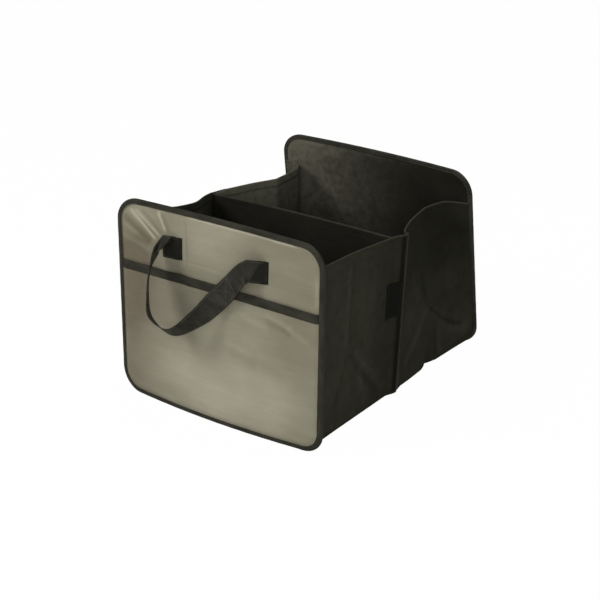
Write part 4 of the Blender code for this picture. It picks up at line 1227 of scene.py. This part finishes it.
def rear_stations():
    """Columns: share along the strip, share inside the front strip's fin, where it starts, y at the foot."""
    beyond = np.concatenate([np.linspace(0.0, 0.06, 12)[:-1], np.linspace(0.06, 1.0, 100)])
    lap = np.linspace(0.0, 1.0, FIRST_FREE + 1)[:-1]
    place = np.concatenate([0.0 * lap, beyond])[:, None]
    lapped = np.concatenate([1.0 - lap, 0.0 * beyond])[:, None]
    start = FIN_Y - LAP * lapped
    return place, lapped, start, start + (PANEL_END - start) * place


def rear_half(side):
    """The rear strip starts inside the front strip's fin, tucks inwards and hooks back out to the panel."""
    place, lapped, start, foot_y = rear_stations()
    height = WALL_PARTS[None]
    inside = smooth(1.0 - place / 0.03) * LAP_STEP
    corner = corner_share(PANEL_END - foot_y)
    beside_board = np.interp(foot_y, *FOOT_LINE.T)
    foot = np.where(lapped > 0.0, front_foot_half(start), beside_board) - inside
    foot = foot + (HALF - WALL_INSET - beside_board) * corner
    seam_top = np.interp(start, [SEAM_Y, FIN_Y], [SEAM_TOP_HALF, FIN_TOP_HALF[side]]) - LAP_STEP
    top_half = seam_top + (HALF - WALL_INSET - seam_top) * place
    top = SEAM_TOP + (REAR_WALL_TOP - SEAM_TOP) * place
    fold = REAR_TUCK * tent(height, place, REAR_PEAK)
    ridge = 0.0026 * np.exp(-((place - 0.024) / 0.012) ** 2) * smooth(height / 0.05)
    free = smooth((place - 0.03) / 0.08) * smooth((1.0 - place) / 0.08)
    waves = 1.4 * wall_wrinkles(foot_y, height, 41 if side > 0 else 42)
    wrinkles = (waves + fold_lines(foot_y, height, REAR_FOLDS)) * free
    without_notch = np.where(lapped > 0.0, 0.0, np.interp(foot_y, *PLAIN_FOOT_LINE.T) - beside_board)
    base = foot + without_notch * smooth(height / 0.22)
    wall = base + (top_half - base) * height - fold + ridge + wrinkles
    x, z = section(foot, foot_radius(corner) - inside, FLOOR_Z + inside, wall, top)
    y = start + (rear_face(side * x, z) - FRONT_Y - BAY_DEPTH - start) * place

    edge = top_place(side, place)
    straight = np.hstack([top_half, start + (edge[-1, 1] - start) * place])
    bend = np.where(lapped > 0.0, 0.0, edge - straight)
    diagonal = CREASE_HEIGHT * np.minimum(place / REAR_PEAK, (1.0 - place) / (1.0 - REAR_PEAK))
    share = 1.0 - (1.0 - np.clip((height - diagonal) / (1.0 - diagonal), 0.0, 1.0)) ** 2
    x[:, WALLS] += bend[:, :1] * share + (fold - ridge) * share
    y[:, WALLS] += bend[:, 1:] * share
    return np.stack([side * x, y, z], axis=-1)


def left_painted_light(points):
    """Grey painted light on the left wall: strong from the divider to its deepest place, faint beyond."""
    x, y, z = points[..., 0], points[..., 1] - FRONT_Y, points[..., 2]
    on_left = smooth((-0.10 - x) / 0.02)
    return on_left * (0.50 + 0.46 * smooth((0.345 - y) / 0.02)) * smooth((z - 0.12) / 0.09)


def rear_painted_light_and_shade():
    """Painted: fold highlights and shade, a highlight just behind the seam, and shade on the upper part."""
    place, lapped, start, foot_y = rear_stations()
    painted_light, shade = fold_highlight_and_shade(foot_y, WALL_PARTS[None], REAR_FOLDS)
    # Painted highlight on the ridge just behind the seam.
    ridge = 0.27 * np.exp(-((place - 0.020) / 0.012) ** 2) * (lapped == 0.0)
    painted_shade_gradient = 0.10 + 0.42 * smooth((WALL_PARTS[None] - 0.40) / 0.35) * smooth((place - 0.05) / 0.05)
    return painted_light * 0.7 + ridge, shade + painted_shade_gradient


rear_points = whole_strip(rear_half(-1), rear_half(1))
rear_painted_light, rear_shade = strip_paint(*rear_painted_light_and_shade())
on_left = rear_points[..., 0] < 0.0
rear_strip = cloth("rear_bay_strip", rear_points, BAY_THICK, "black",
                   replaces="rear_bay_cloth",
                   paint={"painted_light": np.where(on_left, left_painted_light(rear_points), rear_painted_light),
                          "shade": np.where(on_left, 0.0, rear_shade)})

# %% [markdown]
# ### Hems
# The top edge of each wall is turned over: a second layer goes over the edge and 12 mm down the inside,
# and a seam holds it. The hem is a section carried along the wall's top edge, built on three directions:
# along the edge, up the wall, and off the wall. A painted highlight in grey runs along the fold at the
# very top.

# %% Hems along the wall tops
HEM_DEPTH, HEM_LIP, HEM_THICK, HEM_SEAM = 0.012, 0.002, 0.0007, 0.010
HEM_CLEAR = BAY_THICK / 2 + HEM_THICK / 2 + 0.0001
ROWS_BELOW_EDGE = 5
turn = np.linspace(0.0, np.pi, 7)
HEM_LEG = np.linspace(0.0, -HEM_DEPTH, 7)[1:]
HEM_OUT = np.concatenate([[HEM_CLEAR], HEM_CLEAR * np.cos(turn), 0.0 * HEM_LEG - HEM_CLEAR])
HEM_RISE = np.concatenate([[-HEM_LIP], HEM_CLEAR * np.sin(turn), HEM_LEG])
# Painted light along the hem's section, strongest as a painted highlight over the fold at the top.
HEM_PAINTED_LIGHT = np.concatenate([[0.10], 0.12 + 0.24 * np.sin(turn), 0.0 * HEM_LEG + 0.03])


def edge_frame(wall, outward):
    """Top points of a wall's grid with unit vectors up the wall and off it, on its outer side."""
    edge = wall[:, -1]
    rise = unit(edge - wall[:, -1 - ROWS_BELOW_EDGE])
    off = unit(np.cross(np.gradient(edge, axis=0), rise))
    return edge, rise, off * np.sign(np.sum(off * outward, axis=1))[:, None]


def hem_points(wall, outward):
    """Section: a short lip outside, a half circle over the edge and a leg down the inside."""
    edge, rise, off = edge_frame(wall, outward)
    return edge[:, None] + HEM_OUT[:, None] * off[:, None] + HEM_RISE[:, None] * rise[:, None]


def hem_seam(wall, outward, face):
    """Path and direction of the seam below the edge, on the outer (1) or inner (-1) face."""
    edge, rise, off = edge_frame(wall, outward)
    clear = BAY_THICK / 2 if face > 0 else HEM_CLEAR + HEM_THICK / 2
    return edge - HEM_SEAM * rise + face * clear * off, face * off


hems, seams = {"front": [], "rear": []}, []
for name, points in (("front", front_points), ("rear", rear_points[FIRST_FREE:])):
    left, right = points[:, len(WALL_PARTS) - 1::-1], points[:, -len(WALL_PARTS):]
    for hand, wall, outward in (("left", left, (-1.0, 0.0, 0.0)), ("right", right, (1.0, 0.0, 0.0))):
        hem = hem_points(wall, outward)
        hems[name].append(cloth(f"{name}_hem_{hand}", hem, HEM_THICK, "black",
                                paint={"painted_light": left_painted_light(hem) * (name == "rear") + HEM_PAINTED_LIGHT}))
        seams += [stitch_row(*hem_seam(wall, outward, face)) for face in (1, -1)]
sew("hem_stitches", seams)


# %% [markdown]
# ## Divider
# A board stands between the bays in a sleeve: one cloth folded over its top, with a seam below the fold.

# %% Divider sleeve
def inner_half(z, clear):
    """Half width that is free between the walls at the divider, at a clearance from the cloth's middle."""
    height = np.clip((z - FLOOR_Z - FOOT_RADIUS) / (SEAM_TOP - FLOOR_Z - FOOT_RADIUS), 0.0, 1.0)
    drop = np.maximum(FLOOR_Z + FOOT_RADIUS - z, 0.0)
    arc = FOOT_HALF - FOOT_RADIUS + np.sqrt(np.maximum((FOOT_RADIUS - clear) ** 2 - drop**2, 0.0))
    wall = FOOT_HALF + (SEAM_TOP_HALF - FOOT_HALF) * height * DIVIDER_Y / SEAM_Y - clear
    return np.where(drop > 0.0, arc, wall)


DIVIDER_BOW = 0.006
fold = DIVIDER_HALF + 2 * GAP + BAY_THICK / 2
leg = np.linspace(BAY_THICK + GAP, SEAM_TOP - fold, 60)
turn = np.linspace(0.0, np.pi, 11)[1:-1]
sleeve_z = np.concatenate([leg, SEAM_TOP - fold + fold * np.sin(turn), leg[::-1]])[:, None]
sleeve_off = np.concatenate([0.0 * leg - fold, -fold * np.cos(turn), 0.0 * leg + fold])[:, None]
x = inner_half(sleeve_z, BAY_THICK / 2 + GAP) * np.linspace(-1.0, 1.0, 90)
z = sleeve_z + 0.0 * x
bow = DIVIDER_BOW * (1.0 - (x / SEAM_TOP_HALF) ** 2) * np.minimum(z, SEAM_TOP) / SEAM_TOP
slack = 0.0003 * (1.0 + ripples(x, z, 51, 0.08)) * np.sign(sleeve_off) * smooth((SEAM_TOP - z) / 0.03)
points = np.stack([x, FRONT_Y + DIVIDER_Y + bow + sleeve_off + slack, z], axis=-1)
# Painted highlight in grey along the fold at the sleeve's top.
painted_top_highlight = 0.16 * smooth((sleeve_z - SEAM_TOP + 0.8 * fold) / 0.0008)
sleeve = cloth("divider_cloth", points, BAY_THICK, "inner", replaces="divider_sleeve",
               paint={"painted_light": painted_top_highlight})

# %% Divider stitches
SLEEVE_SEAM = 0.011
station = np.argmin(np.abs(leg - (SEAM_TOP - SLEEVE_SEAM)))
sleeve_seams = []
for row, face in ((points[station], -1.0), (points[-1 - station], 1.0)):
    off = np.array([0.0, face, 0.0]) + 0.0 * row
    sleeve_seams.append(stitch_row(row + BAY_THICK / 2 * off, off))
sew("divider_stitches", sleeve_seams)


# %% [markdown]
# ## Boards and hook patches
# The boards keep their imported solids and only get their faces. The hook patches are laid again with a
# finer grid that follows the wall, and a seam runs round each of them.

# %% Boards
for name, finish in (("front_board", "board"), ("rear_board", "board"), ("divider_board", "board"),
                     ("front_base_board", "base"), ("rear_base_board", "base")):
    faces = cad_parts[name].data.materials
    faces.clear()
    faces.append(FINISHES[finish])

# %% Hook patches
PATCH_WIDTH, PATCH_HEIGHT, PATCH_Z, PATCH_THICK = 0.030, 0.057, 0.166, 0.0008
PATCH_EDGE, PATCH_SEAM = 0.006, 0.002


def patch_points(side, rise, back):
    """Places on the wall's outside from rise above the patch's middle and back from its rear edge."""
    y = FIN_Y - PATCH_EDGE - back + 0.0 * rise
    z = PATCH_Z + rise + 0.0 * back
    base = FLOOR_Z + FOOT_RADIUS
    half = front_wall_half(y, (z - base) / (SEAM_TOP - base), side)
    return np.stack([side * (half + BAY_THICK / 2 + 2 * GAP + PATCH_THICK / 2), FRONT_Y + y, z], axis=-1)


low, high = PATCH_SEAM - PATCH_HEIGHT / 2, PATCH_HEIGHT / 2 - PATCH_SEAM
near, far = PATCH_SEAM, PATCH_WIDTH - PATCH_SEAM
corners = np.array([(low, near), (high, near), (high, far), (low, far), (low, near)])
round_path = np.vstack([np.linspace(corners[k], corners[k + 1], (40, 20)[k % 2]) for k in range(4)])
patch_seams = []
for side, name in ((1, "right"), (-1, "left")):
    rise = np.linspace(-0.5, 0.5, 30)[:, None] * PATCH_HEIGHT
    back = np.linspace(0.0, 1.0, 22)[None] * PATCH_WIDTH
    cloth(f"{name}_hook_patch", patch_points(side, rise, back), PATCH_THICK, "hook",
          replaces=f"{name}_closure_patch")
    off = np.array([side, 0.0, 0.0]) * np.ones((len(round_path), 1))
    seam_path = patch_points(side, round_path[:, 0], round_path[:, 1]) + PATCH_THICK / 2 * off
    patch_seams.append(stitch_row(seam_path, off))
sew("patch_stitches", patch_seams)
